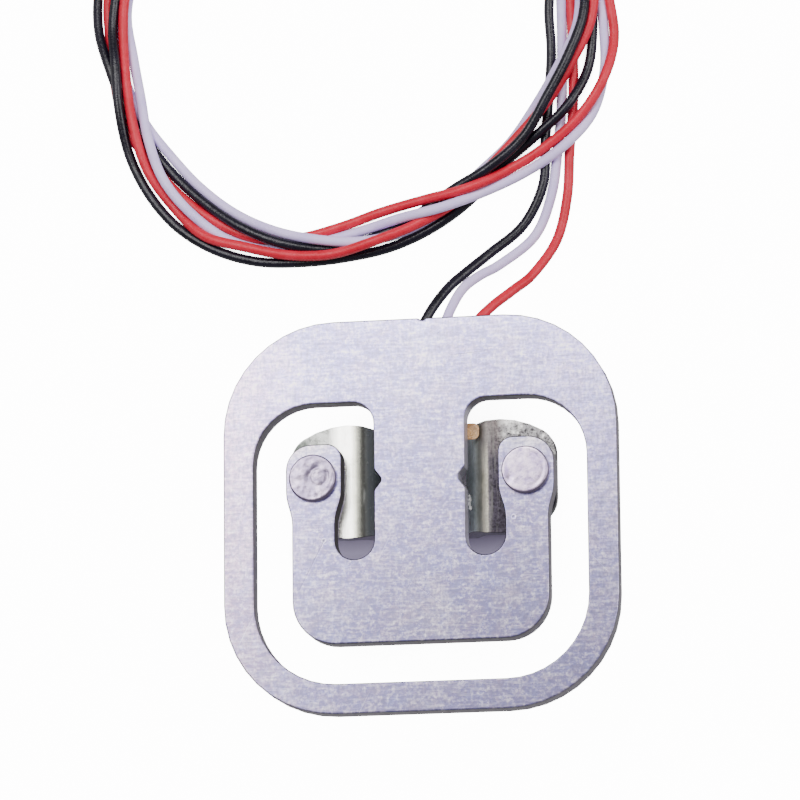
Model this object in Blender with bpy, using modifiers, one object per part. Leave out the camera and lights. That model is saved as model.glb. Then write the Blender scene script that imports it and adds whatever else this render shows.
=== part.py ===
"""Half-bridge load cell of the kind used under bathroom and kitchen scales.

A square steel plate is stamped into an outer ring, a bending beam and a pad with two ears.
A formed bracket is riveted under the ears and carries the load to them.
The beam has a foil strain gauge on its underside, with three leads that leave over the ring.

Metres, +Z up. The plate lies level, plain face up, and the bracket's web stands on z = 0.
The origin is below the plate's middle, and the leads leave towards +Y.
"""

import math

import bmesh
import bpy
from mathutils import Vector

# Plate: ring, root bar and thickness
PLATE_THICKNESS = 0.0020
PLATE_CORNER_RADIUS = 0.0096
PLATE_EDGE_ROUNDING = 0.00014
RING_BAR = 0.0026
ROOT_BAR = 0.00712
RING_INNER_RADIUS = 0.0071
ROOT_CORNER_RADIUS = 0.0052

# Beam between the root bar and the pad, with a locating nick at half its length
BEAM_WIDTH = 0.00786
BEAM_ROOT_RADIUS = 0.0019
NICK_DEPTH = 0.00070
NICK_LENGTH = 0.00180
NICK_RADIUS = 0.00045

# Pad, the slots beside the beam, and the two ears
SLOT_WIDTH = 0.00343
SLOT_END_Y = -0.00376
NECK_WIDTH = 0.00369
PAD_CORNER_RADIUS = 0.0038
PAD_TO_RING_SIDE = 0.00335
PAD_TO_RING_END = 0.00340
EAR_TOP_Y = 0.00634
EAR_OUTER_RADIUS = 0.0022
EAR_INNER_RADIUS = 0.00125
EAR_SWELL = 0.00052
EAR_INNER_SWELL = 0.00058
EAR_SWELL_TOP_Y = 0.0018
EAR_SWELL_BOTTOM_Y = -0.0001
EAR_SWELL_RADIUS = 0.0037

# Load line: the height of the rivets and of the bracket's middle
LOAD_LINE_Y = 0.00335

# Bracket, pressed from one strip
SHEET = 0.0012
BRACKET_HEIGHT = 0.0054
RIVET_TO_BRACKET_END = 0.00232
FLANGE_HALF_WIDTH = 0.00495
WAIST_HALF_WIDTH = 0.0044
RIVET_TO_SHOULDER = 0.00273
SHOULDER_RADIUS = 0.0076
WAIST_RADIUS = 0.0040
BRACKET_END_RADIUS = 0.0023
RIVET_TO_BEND = 0.00328
BEND_ANGLE = math.radians(68)
FLANGE_BEND_RADIUS = 0.0020
WEB_BEND_RADIUS = 0.0010
BRACKET_EDGE_ROUNDING = 0.00010

# Rivets
RIVET_SHANK_DIAMETER = 0.0026
RIVET_HOLE_CLEARANCE = 0.00010
RIVET_HEAD_DIAMETER = 0.0041
RIVET_HEAD_HEIGHT = 0.00052
RIVET_HEAD_FLAT_DIAMETER = 0.0031
RIVET_TAIL_HEIGHT = 0.00060
RIVET_RIM_HEIGHT = 0.00020

# Strain gauge on the beam's underside
FILM_SIDE_MARGIN = 0.00053
FILM_LENGTH = 0.0117
FILM_THICKNESS = 0.00010
FILM_CORNER_RADIUS = 0.00050
FILM_TAB_OVERHANG = 0.00097
FILM_TAB_LENGTH = 0.0014
FILM_TAB_BELOW_END = 0.0009
FOIL_THICKNESS = 0.00005
FOIL_LINE_WIDTH = 0.00024
GRID_LEGS = 5
GRID_PAST_MIDDLE = 0.00018
GRID_LEG_LENGTH = 0.0026
GRID_OFFSET = 0.0044
TERMINAL_SIZE = 0.00110
TERMINAL_SIDE_MARGIN = 0.00055
TERMINAL_FROM_FILM_END = 0.00095

# Leads
LEAD_DIAMETER = 0.00088
CORE_DIAMETER = 0.00040
CORE_BARE_LENGTH = 0.00190
SOLDER_DIAMETER = 0.00086
SOLDER_HEIGHT = 0.00050
LEAD_BELOW_PLATE = 0.00062
TIP_DIAMETER = 0.00046
TIP_LENGTH = 0.0035

# Coil of the three leads
COIL_WIDTH = 0.0038
COIL_HEIGHT = 0.0027
COIL_SPACING = 0.0016

# Silicone over the gauge
SEALANT_SIDE_MARGIN = 0.00023
SEALANT_BOTTOM_Y = -0.0026
SEALANT_TOP_Y = 0.0146
SEALANT_DEPTH = 0.00135

# Fits
SEAT_GAP = 0.00008
FILM_GAP = 0.00003
JOINT_GAP = 0.00010
CHANNEL_CLEARANCE = 0.00006
FLOOR_CLEARANCE = 0.00003

# Drawing fineness
ARC_STEP = math.radians(10)
ROUTE_STEP = 2.2
TUBE_RESOLUTION = 2
OVERLAP = 0.001

# Worked out from the values above
PLATE_BOTTOM = BRACKET_HEIGHT + SEAT_GAP
PLATE_TOP = PLATE_BOTTOM + PLATE_THICKNESS
BEAM_HALF = BEAM_WIDTH / 2
NECK_INNER_X = BEAM_HALF + SLOT_WIDTH
PAD_HALF = NECK_INNER_X + NECK_WIDTH
RING_INNER = PAD_HALF + PAD_TO_RING_SIDE
PLATE_HALF = RING_INNER + RING_BAR
GAP_TOP_Y = PLATE_HALF - ROOT_BAR
BEAM_MIDDLE_Y = (GAP_TOP_Y + SLOT_END_Y) / 2
PAD_BOTTOM_Y = -RING_INNER + PAD_TO_RING_END
EAR_OUTER_X = PAD_HALF + EAR_SWELL
EAR_INNER_X = NECK_INNER_X - EAR_INNER_SWELL
RIVET_X = (EAR_INNER_X + EAR_OUTER_X) / 2
BRACKET_END_X = RIVET_X + RIVET_TO_BRACKET_END
SHOULDER_X = RIVET_X - RIVET_TO_SHOULDER
BEND_START_X = RIVET_X - RIVET_TO_BEND
FILM_HALF = BEAM_HALF - FILM_SIDE_MARGIN
FILM_TAB_X = BEAM_HALF + FILM_TAB_OVERHANG
TERMINAL_PITCH = FILM_HALF - TERMINAL_SIDE_MARGIN - TERMINAL_SIZE / 2
GRID_WIDTH = TERMINAL_PITCH + GRID_PAST_MIDDLE
GRID_PITCH = GRID_WIDTH / (GRID_LEGS - 1)
SEALANT_HALF = BEAM_HALF - SEALANT_SIDE_MARGIN
FILM_TOP = PLATE_BOTTOM - FILM_GAP
FILM_BOTTOM = FILM_TOP - FILM_THICKNESS
FOIL_TOP = FILM_BOTTOM - FILM_GAP
FOIL_BOTTOM = FOIL_TOP - FOIL_THICKNESS
FILM_END_Y = BEAM_MIDDLE_Y + FILM_LENGTH / 2
TERMINAL_Y = FILM_END_Y - TERMINAL_FROM_FILM_END
CORE_Z = PLATE_BOTTOM - LEAD_BELOW_PLATE
LAID_Z = LEAD_DIAMETER / 2 + FLOOR_CLEARANCE
COIL_Z = COIL_HEIGHT / 2 + FLOOR_CLEARANCE

# Each lead's route from its terminal's bare core to the coil, and its free end beyond the coil.
# The first stretch runs under the root bar, drops to the table and curves up to the coil.
LEADS = {
    "black": {
        "colour": (0.012, 0.011, 0.017),
        "terminal": -1,
        "route": [
            (-0.00172, 0.01260, CORE_Z),
            (-0.00095, 0.01500, CORE_Z - 0.00002),
            (0.00000, 0.01690, 0.00478),
            (0.00090, 0.01862, 0.00436),
            (0.00215, 0.02055, 0.00335),
            (0.00370, 0.02218, 0.00232),
            (0.00539, 0.02379, 0.00135),
            (0.00720, 0.02525, 0.00070),
            (0.00862, 0.02682, LAID_Z),
            (0.00950, 0.02842, LAID_Z),
            (0.01005, 0.02995, LAID_Z),
            (0.01032, 0.03140, LAID_Z),
        ],
        "tail": [
            (-0.02100, 0.06700, LAID_Z),
            (-0.02450, 0.06720, LAID_Z),
            (-0.02810, 0.06650, LAID_Z),
            (-0.03110, 0.06500, LAID_Z),
        ],
    },
    "white": {
        "colour": (0.62, 0.57, 0.74),
        "terminal": 0,
        "route": [
            (0.00062, 0.01260, CORE_Z),
            (0.00135, 0.01500, CORE_Z - 0.00002),
            (0.00215, 0.01690, 0.00478),
            (0.00282, 0.01862, 0.00436),
            (0.00352, 0.02040, 0.00330),
            (0.00470, 0.02170, 0.00225),
            (0.00640, 0.02285, 0.00130),
            (0.00790, 0.02395, 0.00066),
            (0.00918, 0.02525, LAID_Z),
            (0.01010, 0.02670, LAID_Z),
            (0.01065, 0.02840, LAID_Z),
            (0.01100, 0.03010, LAID_Z),
            (0.01116, 0.03170, LAID_Z),
        ],
        "tail": [
            (-0.02250, 0.06560, LAID_Z),
            (-0.02590, 0.06490, LAID_Z),
            (-0.02920, 0.06340, LAID_Z),
            (-0.03190, 0.06130, LAID_Z),
        ],
    },
    "red": {
        "colour": (0.58, 0.04, 0.055),
        "terminal": 1,
        "route": [
            (0.00300, 0.01260, CORE_Z),
            (0.00395, 0.01500, CORE_Z - 0.00002),
            (0.00495, 0.01690, 0.00478),
            (0.00618, 0.01845, 0.00420),
            (0.00768, 0.02005, 0.00310),
            (0.00930, 0.02170, 0.00190),
            (0.01055, 0.02345, 0.00105),
            (0.01138, 0.02530, 0.00058),
            (0.01188, 0.02710, LAID_Z),
            (0.01218, 0.02890, LAID_Z),
            (0.01238, 0.03070, LAID_Z),
            (0.01252, 0.03240, LAID_Z),
            (0.01268, 0.03370, LAID_Z),
        ],
        "tail": [
            (-0.02385, 0.06410, LAID_Z),
            (-0.02680, 0.06275, LAID_Z),
            (-0.02960, 0.06055, LAID_Z),
            (-0.03180, 0.05790, LAID_Z),
        ],
    },
}

# Middle line of the coil, anticlockwise from its right-hand side
COIL_ROUTE = [
    (0.0148, 0.0447),
    (0.0146, 0.0504),
    (0.0120, 0.0572),
    (0.0078, 0.0631),
    (0.0018, 0.0676),
    (-0.0055, 0.0696),
    (-0.0130, 0.0687),
    (-0.0195, 0.0648),
    (-0.0241, 0.0587),
    (-0.0269, 0.0531),
    (-0.0280, 0.0475),
    (-0.0275, 0.0423),
    (-0.0261, 0.0366),
    (-0.0228, 0.0309),
    (-0.0188, 0.0274),
    (-0.0135, 0.0255),
    (-0.0080, 0.0254),
    (-0.0023, 0.0268),
    (0.0022, 0.0287),
    (0.0064, 0.0317),
    (0.0104, 0.0350),
    (0.0135, 0.0395),
]


def clear_scene():
    for item in list(bpy.data.objects):
        bpy.data.objects.remove(item, do_unlink=True)


def new_collection(name):
    collection = bpy.data.collections.new(name)
    bpy.context.scene.collection.children.link(collection)
    return collection


def new_material(name, colour, metallic, roughness):
    material = bpy.data.materials.new(name)
    material.use_nodes = True
    shader = material.node_tree.nodes["Principled BSDF"]
    shader.inputs["Base Color"].default_value = (*colour, 1.0)
    shader.inputs["Metallic"].default_value = metallic
    shader.inputs["Roughness"].default_value = roughness
    return material


def rounded(corners):
    """Points of a closed outline whose corners (x, y, radius) are arcs tangent to both sides."""
    points = []
    for index, (x, y, radius) in enumerate(corners):
        corner = Vector((x, y))
        before = Vector(corners[index - 1][:2])
        after = Vector(corners[(index + 1) % len(corners)][:2])
        arrive = (corner - before).normalized()
        leave = (after - corner).normalized()
        turn = arrive.angle_signed(leave)
        tangent = radius * math.tan(abs(turn) / 2)
        side = Vector((-arrive.y, arrive.x)) * math.copysign(radius, -turn)
        centre = corner - arrive * tangent + side
        steps = max(2, math.ceil(abs(turn) / ARC_STEP))
        start = math.atan2(-side.y, -side.x)
        for step in range(steps + 1):
            angle = start - turn * step / steps
            points.append((centre.x + radius * math.cos(angle), centre.y + radius * math.sin(angle)))
    return without_repeats(points)


def without_repeats(points, least=1e-6):
    kept = []
    for point in points:
        if not kept or math.dist(point, kept[-1]) > least:
            kept.append(point)
    if math.dist(kept[0], kept[-1]) <= least:
        kept.pop()
    return kept


def arc(centre, radius, start, end):
    steps = max(2, math.ceil(abs(end - start) / ARC_STEP))
    angles = [start + (end - start) * step / steps for step in range(steps + 1)]
    return [(centre[0] + radius * math.cos(a), centre[1] + radius * math.sin(a)) for a in angles]


def circle(centre, radius):
    return without_repeats(arc(centre, radius, 0.0, 2 * math.pi))


def rectangle(x0, y0, x1, y1, radius):
    return rounded([(x0, y0, radius), (x1, y0, radius), (x1, y1, radius), (x0, y1, radius)])


def flat_solid(name, outlines, bottom, top, collection):
    """A sheet of the first outline's shape, with the other outlines as holes."""
    curve = bpy.data.curves.new(name, "CURVE")
    curve.dimensions = "2D"
    curve.fill_mode = "BOTH"
    curve.extrude = (top - bottom) / 2
    for outline in outlines:
        spline = curve.splines.new("POLY")
        spline.points.add(len(outline) - 1)
        for point, (x, y) in zip(spline.points, outline):
            point.co = (x, y, 0.0, 1.0)
        spline.use_cyclic_u = True
    solid = bpy.data.objects.new(name, curve)
    solid.location.z = (top + bottom) / 2
    collection.objects.link(solid)
    return solid


def as_mesh(solid):
    """The curve object's shape as a mesh object with welded caps, under the same name."""
    name = solid.name
    collection = solid.users_collection[0]
    bpy.context.view_layer.update()
    depsgraph = bpy.context.evaluated_depsgraph_get()
    mesh = bpy.data.meshes.new_from_object(solid.evaluated_get(depsgraph))
    form = bmesh.new()
    form.from_mesh(mesh)
    bmesh.ops.remove_doubles(form, verts=form.verts, dist=1e-7)
    form.to_mesh(mesh)
    form.free()
    placed = solid.matrix_world.copy()
    curve = solid.data
    bpy.data.objects.remove(solid, do_unlink=True)
    bpy.data.curves.remove(curve)
    mesh.name = name
    result = bpy.data.objects.new(name, mesh)
    result.matrix_world = placed
    collection.objects.link(result)
    return result


def mesh_object(name, form, collection):
    mesh = bpy.data.meshes.new(name)
    form.to_mesh(mesh)
    form.free()
    result = bpy.data.objects.new(name, mesh)
    collection.objects.link(result)
    return result


def as_cutter(solid):
    solid.hide_render = True
    solid.display_type = "WIRE"
    return solid


def combine(target, other, operation):
    modifier = target.modifiers.new(other.name, "BOOLEAN")
    modifier.operation = operation
    modifier.solver = "EXACT"
    modifier.object = other


def round_edges(target, width):
    weld = target.modifiers.new("weld", "WELD")
    weld.merge_threshold = 1e-7
    bevel = target.modifiers.new("edges", "BEVEL")
    bevel.width = width
    bevel.segments = 2
    bevel.limit_method = "ANGLE"
    bevel.angle_limit = math.radians(60)


def shade_round(target, sharp=math.radians(35)):
    target.data.shade_smooth()
    target.data.set_sharp_from_angle(angle=sharp)


def paint(target, material):
    target.data.materials.append(material)
    return target


def smooth_route(points, spacing, closed=False):
    """Points about a spacing apart on a Catmull-Rom curve through the route's own points."""
    places = [Vector(point) for point in points]
    count = len(places)
    if closed:
        spans = [[places[(i + k) % count] for k in (-1, 0, 1, 2)] for i in range(count)]
    else:
        first = places[0] * 2 - places[1]
        last = places[-1] * 2 - places[-2]
        padded = [first, *places, last]
        spans = [padded[i : i + 4] for i in range(count - 1)]
    result = []
    for before, start, end, after in spans:
        steps = max(1, round((end - start).length / spacing))
        for step in range(steps):
            t = step / steps
            result.append(
                0.5
                * (
                    2 * start
                    + (end - before) * t
                    + (2 * before - 5 * start + 4 * end - after) * t**2
                    + (3 * start - before - 3 * end + after) * t**3
                )
            )
    if not closed:
        result.append(places[-1])
    return result


def tube(name, points, diameter, collection, closed=False):
    curve = bpy.data.curves.new(name, "CURVE")
    curve.dimensions = "3D"
    curve.bevel_depth = diameter / 2
    curve.bevel_resolution = TUBE_RESOLUTION
    curve.use_fill_caps = not closed
    spline = curve.splines.new("POLY")
    spline.points.add(len(points) - 1)
    for point, place in zip(spline.points, points):
        point.co = (*place, 1.0)
    spline.use_cyclic_u = closed
    spline.use_smooth = True
    result = bpy.data.objects.new(name, curve)
    collection.objects.link(result)
    return result


def half_cut_out():
    """Right half of the stamped opening: root bar, ring, and back along pad, ear, slot and beam."""
    nick_x = BEAM_HALF - NICK_DEPTH
    nick_top = BEAM_MIDDLE_Y + NICK_LENGTH / 2
    nick_bottom = BEAM_MIDDLE_Y - NICK_LENGTH / 2
    slot_radius = SLOT_WIDTH / 2
    outside = [
        (BEAM_HALF, GAP_TOP_Y, BEAM_ROOT_RADIUS),
        (RING_INNER, GAP_TOP_Y, ROOT_CORNER_RADIUS),
        (RING_INNER, -RING_INNER, RING_INNER_RADIUS),
    ]
    inside = [
        (PAD_HALF, PAD_BOTTOM_Y, PAD_CORNER_RADIUS),
        (PAD_HALF, EAR_SWELL_BOTTOM_Y, EAR_SWELL_RADIUS),
        (EAR_OUTER_X, EAR_SWELL_TOP_Y, EAR_SWELL_RADIUS),
        (EAR_OUTER_X, EAR_TOP_Y, EAR_OUTER_RADIUS),
        (EAR_INNER_X, EAR_TOP_Y, EAR_INNER_RADIUS),
        (EAR_INNER_X, EAR_SWELL_TOP_Y, EAR_SWELL_RADIUS),
        (NECK_INNER_X, EAR_SWELL_BOTTOM_Y, EAR_SWELL_RADIUS),
        (NECK_INNER_X, SLOT_END_Y, slot_radius),
        (BEAM_HALF, SLOT_END_Y, slot_radius),
        (BEAM_HALF, nick_bottom, NICK_RADIUS),
        (nick_x, BEAM_MIDDLE_Y, NICK_RADIUS),
        (BEAM_HALF, nick_top, NICK_RADIUS),
    ]
    return outside, inside


def mirrored(corners):
    return [(-x, y, radius) for x, y, radius in reversed(corners)]


def sensor_plate(collection, material):
    outside, inside = half_cut_out()
    cut_out = [*outside, *mirrored(outside), *mirrored(inside), *inside]
    hole_radius = RIVET_SHANK_DIAMETER / 2 + RIVET_HOLE_CLEARANCE
    holes = [circle((side * RIVET_X, LOAD_LINE_Y), hole_radius) for side in (-1, 1)]
    edge = rectangle(-PLATE_HALF, -PLATE_HALF, PLATE_HALF, PLATE_HALF, PLATE_CORNER_RADIUS)
    outlines = [edge, rounded(cut_out), *holes]
    plate = flat_solid("sensor_plate", outlines, PLATE_BOTTOM, PLATE_TOP, collection)
    round_edges(plate, PLATE_EDGE_ROUNDING)
    return paint(plate, material)


def bracket_section():
    """The sheet's upper face from end to end, as (x, z): flange, bend, web, bend, flange."""
    flange_z = BRACKET_HEIGHT
    web_z = SHEET
    bend_x = BEND_START_X - FLANGE_BEND_RADIUS * math.tan(BEND_ANGLE / 2)
    foot_x = bend_x - (flange_z - web_z) / math.tan(BEND_ANGLE)
    end_x = BRACKET_END_X + OVERLAP
    flange_centre = (BEND_START_X, flange_z - FLANGE_BEND_RADIUS)
    flange_bend = arc(flange_centre, FLANGE_BEND_RADIUS, math.pi / 2, math.pi / 2 + BEND_ANGLE)
    flat_x = foot_x - WEB_BEND_RADIUS * math.tan(BEND_ANGLE / 2)
    web_centre = (flat_x, web_z + WEB_BEND_RADIUS)
    web_bend = arc(web_centre, WEB_BEND_RADIUS, BEND_ANGLE - math.pi / 2, -math.pi / 2)
    right = [(end_x, flange_z), *flange_bend, *web_bend]
    left = [(-x, z) for x, z in reversed(right)]
    return [*right, *left]


def bracket_blank():
    """The bracket's outline from above: waisted in the middle, with broad round-shouldered ends."""
    shoulder = (SHOULDER_X, FLANGE_HALF_WIDTH - SHOULDER_RADIUS)
    waist_y = WAIST_HALF_WIDTH + WAIST_RADIUS
    waist_rise = waist_y - shoulder[1]
    waist_x = SHOULDER_X - math.sqrt((SHOULDER_RADIUS + WAIST_RADIUS) ** 2 - waist_rise**2)
    waist_angle = math.atan2(waist_rise, waist_x - SHOULDER_X)
    corner_x = BRACKET_END_X - BRACKET_END_RADIUS
    reach = SHOULDER_RADIUS - BRACKET_END_RADIUS
    corner_rise = math.sqrt(reach**2 - (corner_x - SHOULDER_X) ** 2)
    corner = (corner_x, shoulder[1] + corner_rise)
    corner_angle = math.atan2(corner_rise, corner_x - SHOULDER_X)
    quarter = [
        *arc((waist_x, waist_y), WAIST_RADIUS, -math.pi / 2, waist_angle - math.pi),
        *arc(shoulder, SHOULDER_RADIUS, waist_angle, corner_angle),
        *arc(corner, BRACKET_END_RADIUS, corner_angle, 0.0),
    ]
    upper = [*[(-x, y) for x, y in reversed(quarter)], *quarter]
    lower = [(x, -y) for x, y in reversed(upper)]
    return without_repeats([(x, y + LOAD_LINE_Y) for x, y in [*upper, *lower]])


def load_bracket(collection, cutters, material):
    form = bmesh.new()
    reach = FLANGE_HALF_WIDTH + OVERLAP
    rows = []
    for y in (LOAD_LINE_Y - reach, LOAD_LINE_Y + reach):
        rows.append([form.verts.new((x, y, z)) for x, z in bracket_section()])
    for index in range(len(rows[0]) - 1):
        near, far = rows
        form.faces.new((near[index + 1], near[index], far[index], far[index + 1]))
    bmesh.ops.recalc_face_normals(form, faces=form.faces)
    if form.faces[0].normal.z < 0:
        bmesh.ops.reverse_faces(form, faces=form.faces)
    bracket = mesh_object("load_bracket", form, collection)
    sheet = bracket.modifiers.new("sheet", "SOLIDIFY")
    sheet.thickness = SHEET
    sheet.offset = -1.0
    sheet.use_even_offset = True
    blank = flat_solid(
        "bracket_blank", [bracket_blank()], -OVERLAP, BRACKET_HEIGHT + OVERLAP, cutters
    )
    combine(bracket, as_cutter(as_mesh(blank)), "INTERSECT")
    hole_radius = RIVET_SHANK_DIAMETER / 2 + RIVET_HOLE_CLEARANCE
    for side in (-1, 1):
        hole = flat_solid(
            "bracket_hole",
            [circle((side * RIVET_X, LOAD_LINE_Y), hole_radius)],
            BRACKET_HEIGHT - SHEET - OVERLAP,
            BRACKET_HEIGHT + OVERLAP,
            cutters,
        )
        combine(bracket, as_cutter(as_mesh(hole)), "DIFFERENCE")
    edges = bracket.modifiers.new("edges", "BEVEL")
    edges.width = BRACKET_EDGE_ROUNDING
    edges.segments = 1
    edges.limit_method = "ANGLE"
    edges.angle_limit = math.radians(60)
    shade_round(bracket)
    return paint(bracket, material)


def rivet_profile():
    """Half section from the head's middle down to the tail's middle, as (radius, z)."""
    head_radius = RIVET_HEAD_DIAMETER / 2
    shank = RIVET_SHANK_DIAMETER / 2
    flat = RIVET_HEAD_FLAT_DIAMETER / 2
    seat = PLATE_TOP + SEAT_GAP
    top = seat + RIVET_HEAD_HEIGHT
    under = BRACKET_HEIGHT - SHEET - SEAT_GAP
    bottom = under - RIVET_TAIL_HEIGHT
    rim = RIVET_RIM_HEIGHT
    shoulder = (head_radius + flat) / 2
    return [
        (0.0, top),
        (flat, top),
        (shoulder, top - (top - seat - rim) * 0.28),
        (head_radius - rim * 0.3, seat + rim * 1.5),
        (head_radius, seat + rim),
        (head_radius, seat),
        (shank, seat),
        (shank, under),
        (head_radius, under),
        (head_radius, under - rim),
        (head_radius - rim * 0.3, under - rim * 1.5),
        (shoulder, bottom),
        (0.0, bottom),
    ]


def rivets(collection, material):
    form = bmesh.new()
    points = [form.verts.new((radius, 0.0, z)) for radius, z in rivet_profile()]
    for upper, lower in zip(points, points[1:]):
        form.edges.new((upper, lower))
    mesh = bpy.data.meshes.new("rivet")
    form.to_mesh(mesh)
    form.free()
    mesh.materials.append(material)
    for name, side in (("rivet_left", -1), ("rivet_right", 1)):
        rivet = bpy.data.objects.new(name, mesh)
        rivet.location = (side * RIVET_X, LOAD_LINE_Y, 0.0)
        collection.objects.link(rivet)
        turn = rivet.modifiers.new("turn", "SCREW")
        turn.steps = 28
        turn.render_steps = 28
        turn.use_merge_vertices = True
        turn.merge_threshold = 1e-6
        turn.use_smooth_shade = True


def terminal_x(lead):
    return LEADS[lead]["terminal"] * TERMINAL_PITCH


def gauge_film(collection, material):
    """Polyimide backing under the beam, with a small tab that shows beside the beam's edge."""
    bottom_y = FILM_END_Y - FILM_LENGTH
    tab_top = FILM_END_Y - FILM_TAB_BELOW_END
    tab_bottom = tab_top - FILM_TAB_LENGTH
    small = FILM_CORNER_RADIUS / 3
    outline = rounded(
        [
            (-FILM_HALF, bottom_y, FILM_CORNER_RADIUS),
            (FILM_HALF, bottom_y, FILM_CORNER_RADIUS),
            (FILM_HALF, tab_bottom, small),
            (FILM_TAB_X, tab_bottom, FILM_CORNER_RADIUS),
            (FILM_TAB_X, tab_top, FILM_CORNER_RADIUS),
            (FILM_HALF, tab_top, FILM_TAB_BELOW_END / 3),
            (FILM_HALF, FILM_END_Y, FILM_TAB_BELOW_END / 3),
            (-FILM_HALF, FILM_END_Y, FILM_CORNER_RADIUS),
        ]
    )
    film = flat_solid("gauge_film", [outline], FILM_BOTTOM, FILM_TOP, collection)
    return paint(film, material)


def ribbon(path, width):
    """Outline of a line of even width along a path of right-angled turns."""
    sides = ([], [])
    for index, place in enumerate(path):
        here = Vector(place)
        before = Vector(path[max(index - 1, 0)])
        after = Vector(path[min(index + 1, len(path) - 1)])
        arrive = (here - before).normalized() if index else (after - here).normalized()
        leave = (after - here).normalized() if index < len(path) - 1 else arrive
        across = Vector((-arrive.y, arrive.x)) + Vector((-leave.y, leave.x))
        if abs(arrive.dot(leave)) > 0.5:
            across = across / 2
        sides[0].append(tuple(here + across * width / 2))
        sides[1].append(tuple(here - across * width / 2))
    return [*sides[1], *reversed(sides[0])]


def grid_path(left_x, low_y, high_y):
    """Legs of one grid from left to right, starting and ending upwards."""
    path = []
    ends = (low_y, high_y)
    for leg in range(GRID_LEGS):
        x = left_x + leg * GRID_PITCH
        path.extend([(x, ends[0]), (x, ends[1])])
        ends = ends[::-1]
    return path


def gauge_foil(collection, cutters, material):
    """Constantan foil: one grid on each half of the beam, joined at the middle terminal."""
    black_x, white_x, red_x = (terminal_x(lead) for lead in ("black", "white", "red"))
    far_middle = BEAM_MIDDLE_Y - GRID_OFFSET / 2
    near_middle = BEAM_MIDDLE_Y + GRID_OFFSET / 2
    far_low, far_high = far_middle - GRID_LEG_LENGTH / 2, far_middle + GRID_LEG_LENGTH / 2
    near_low, near_high = near_middle - GRID_LEG_LENGTH / 2, near_middle + GRID_LEG_LENGTH / 2
    far_grid = grid_path(-GRID_WIDTH / 2, far_low, far_high)
    near_grid = grid_path(red_x - GRID_WIDTH, near_low, near_high)
    below_far = far_low - GRID_PITCH
    below_near = near_low - GRID_PITCH
    riser_x = near_grid[0][0] - GRID_PITCH
    joint_y = (far_high + below_near) / 2
    main_path = [
        (black_x, TERMINAL_Y),
        (black_x, below_far),
        (far_grid[0][0], below_far),
        *far_grid[1:-1],
        (far_grid[-1][0], joint_y),
        (riser_x, joint_y),
        (riser_x, TERMINAL_Y),
        (white_x, TERMINAL_Y),
    ]
    branch_path = [
        (riser_x, below_near),
        (near_grid[0][0], below_near),
        *near_grid[1:-1],
        (red_x, TERMINAL_Y),
    ]
    outlines = [ribbon(branch_path, FOIL_LINE_WIDTH)]
    half = TERMINAL_SIZE / 2
    for x in (black_x, white_x, red_x):
        square = rectangle(x - half, TERMINAL_Y - half, x + half, TERMINAL_Y + half, half / 4)
        outlines.append(square)
    foil = as_mesh(
        flat_solid(
            "gauge_foil", [ribbon(main_path, FOIL_LINE_WIDTH)], FOIL_BOTTOM, FOIL_TOP, collection
        )
    )
    for outline in outlines:
        piece = flat_solid("foil_area", [outline], FOIL_BOTTOM, FOIL_TOP, cutters)
        combine(foil, as_cutter(as_mesh(piece)), "UNION")
    return paint(foil, material)


def core_start(lead):
    return Vector((terminal_x(lead), TERMINAL_Y, CORE_Z))


def solder_joint(lead, collection, cutters, material):
    """A flattened bead on the terminal, cut where the lead's core lies in it."""
    form = bmesh.new()
    bmesh.ops.create_uvsphere(form, u_segments=16, v_segments=10, radius=SOLDER_DIAMETER / 2)
    bmesh.ops.scale(form, vec=(1.0, 1.0, 2 * SOLDER_HEIGHT / SOLDER_DIAMETER), verts=form.verts)
    bead = mesh_object(f"solder_{lead}", form, collection)
    bead.location = core_start(lead)
    seat = flat_solid(
        "solder_seat",
        [rectangle(-SOLDER_DIAMETER, -SOLDER_DIAMETER, SOLDER_DIAMETER, SOLDER_DIAMETER, 0.0001)],
        FOIL_BOTTOM - FILM_GAP,
        FOIL_BOTTOM + OVERLAP,
        cutters,
    )
    seat.location.x = terminal_x(lead)
    seat.location.y = TERMINAL_Y
    combine(bead, as_cutter(as_mesh(seat)), "DIFFERENCE")
    start = core_start(lead)
    ahead = core_direction(lead)
    bore_path = [start - ahead * FILM_GAP, start + ahead * SOLDER_DIAMETER * 2]
    bore = tube("solder_bore", bore_path, CORE_DIAMETER + 2 * FILM_GAP, cutters)
    combine(bead, as_cutter(as_mesh(bore)), "DIFFERENCE")
    shade_round(bead)
    return paint(bead, material)


def core_direction(lead):
    return (Vector(LEADS[lead]["route"][0]) - core_start(lead)).normalized()


def lead_route(lead):
    """The lead's route, with its insulation starting a bare length after the terminal."""
    start = core_start(lead) + core_direction(lead) * (CORE_BARE_LENGTH + JOINT_GAP)
    return [start, *LEADS[lead]["route"]]


def lead_core(lead, collection, material):
    start = core_start(lead)
    end = start + core_direction(lead) * CORE_BARE_LENGTH
    core = tube(f"core_{lead}", [start, end], CORE_DIAMETER, collection)
    return paint(core, material)


def lead_tube(lead, collection, material):
    spacing = LEAD_DIAMETER * ROUTE_STEP
    points = smooth_route(lead_route(lead), spacing)
    return paint(tube(f"lead_{lead}", points, LEAD_DIAMETER, collection), material)


def lead_tail(lead, collection, material):
    spacing = LEAD_DIAMETER * ROUTE_STEP
    points = smooth_route(LEADS[lead]["tail"], spacing)
    return paint(tube(f"tail_{lead}", points, LEAD_DIAMETER, collection), material)


def lead_tip(lead, collection, material):
    """The stripped and tinned end, in line with the free end's last stretch."""
    last, before = Vector(LEADS[lead]["tail"][-1]), Vector(LEADS[lead]["tail"][-2])
    ahead = (last - before).normalized()
    start = last + ahead * JOINT_GAP
    tip = tube(f"tip_{lead}", [start, start + ahead * TIP_LENGTH], TIP_DIAMETER, collection)
    return paint(tip, material)


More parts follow.
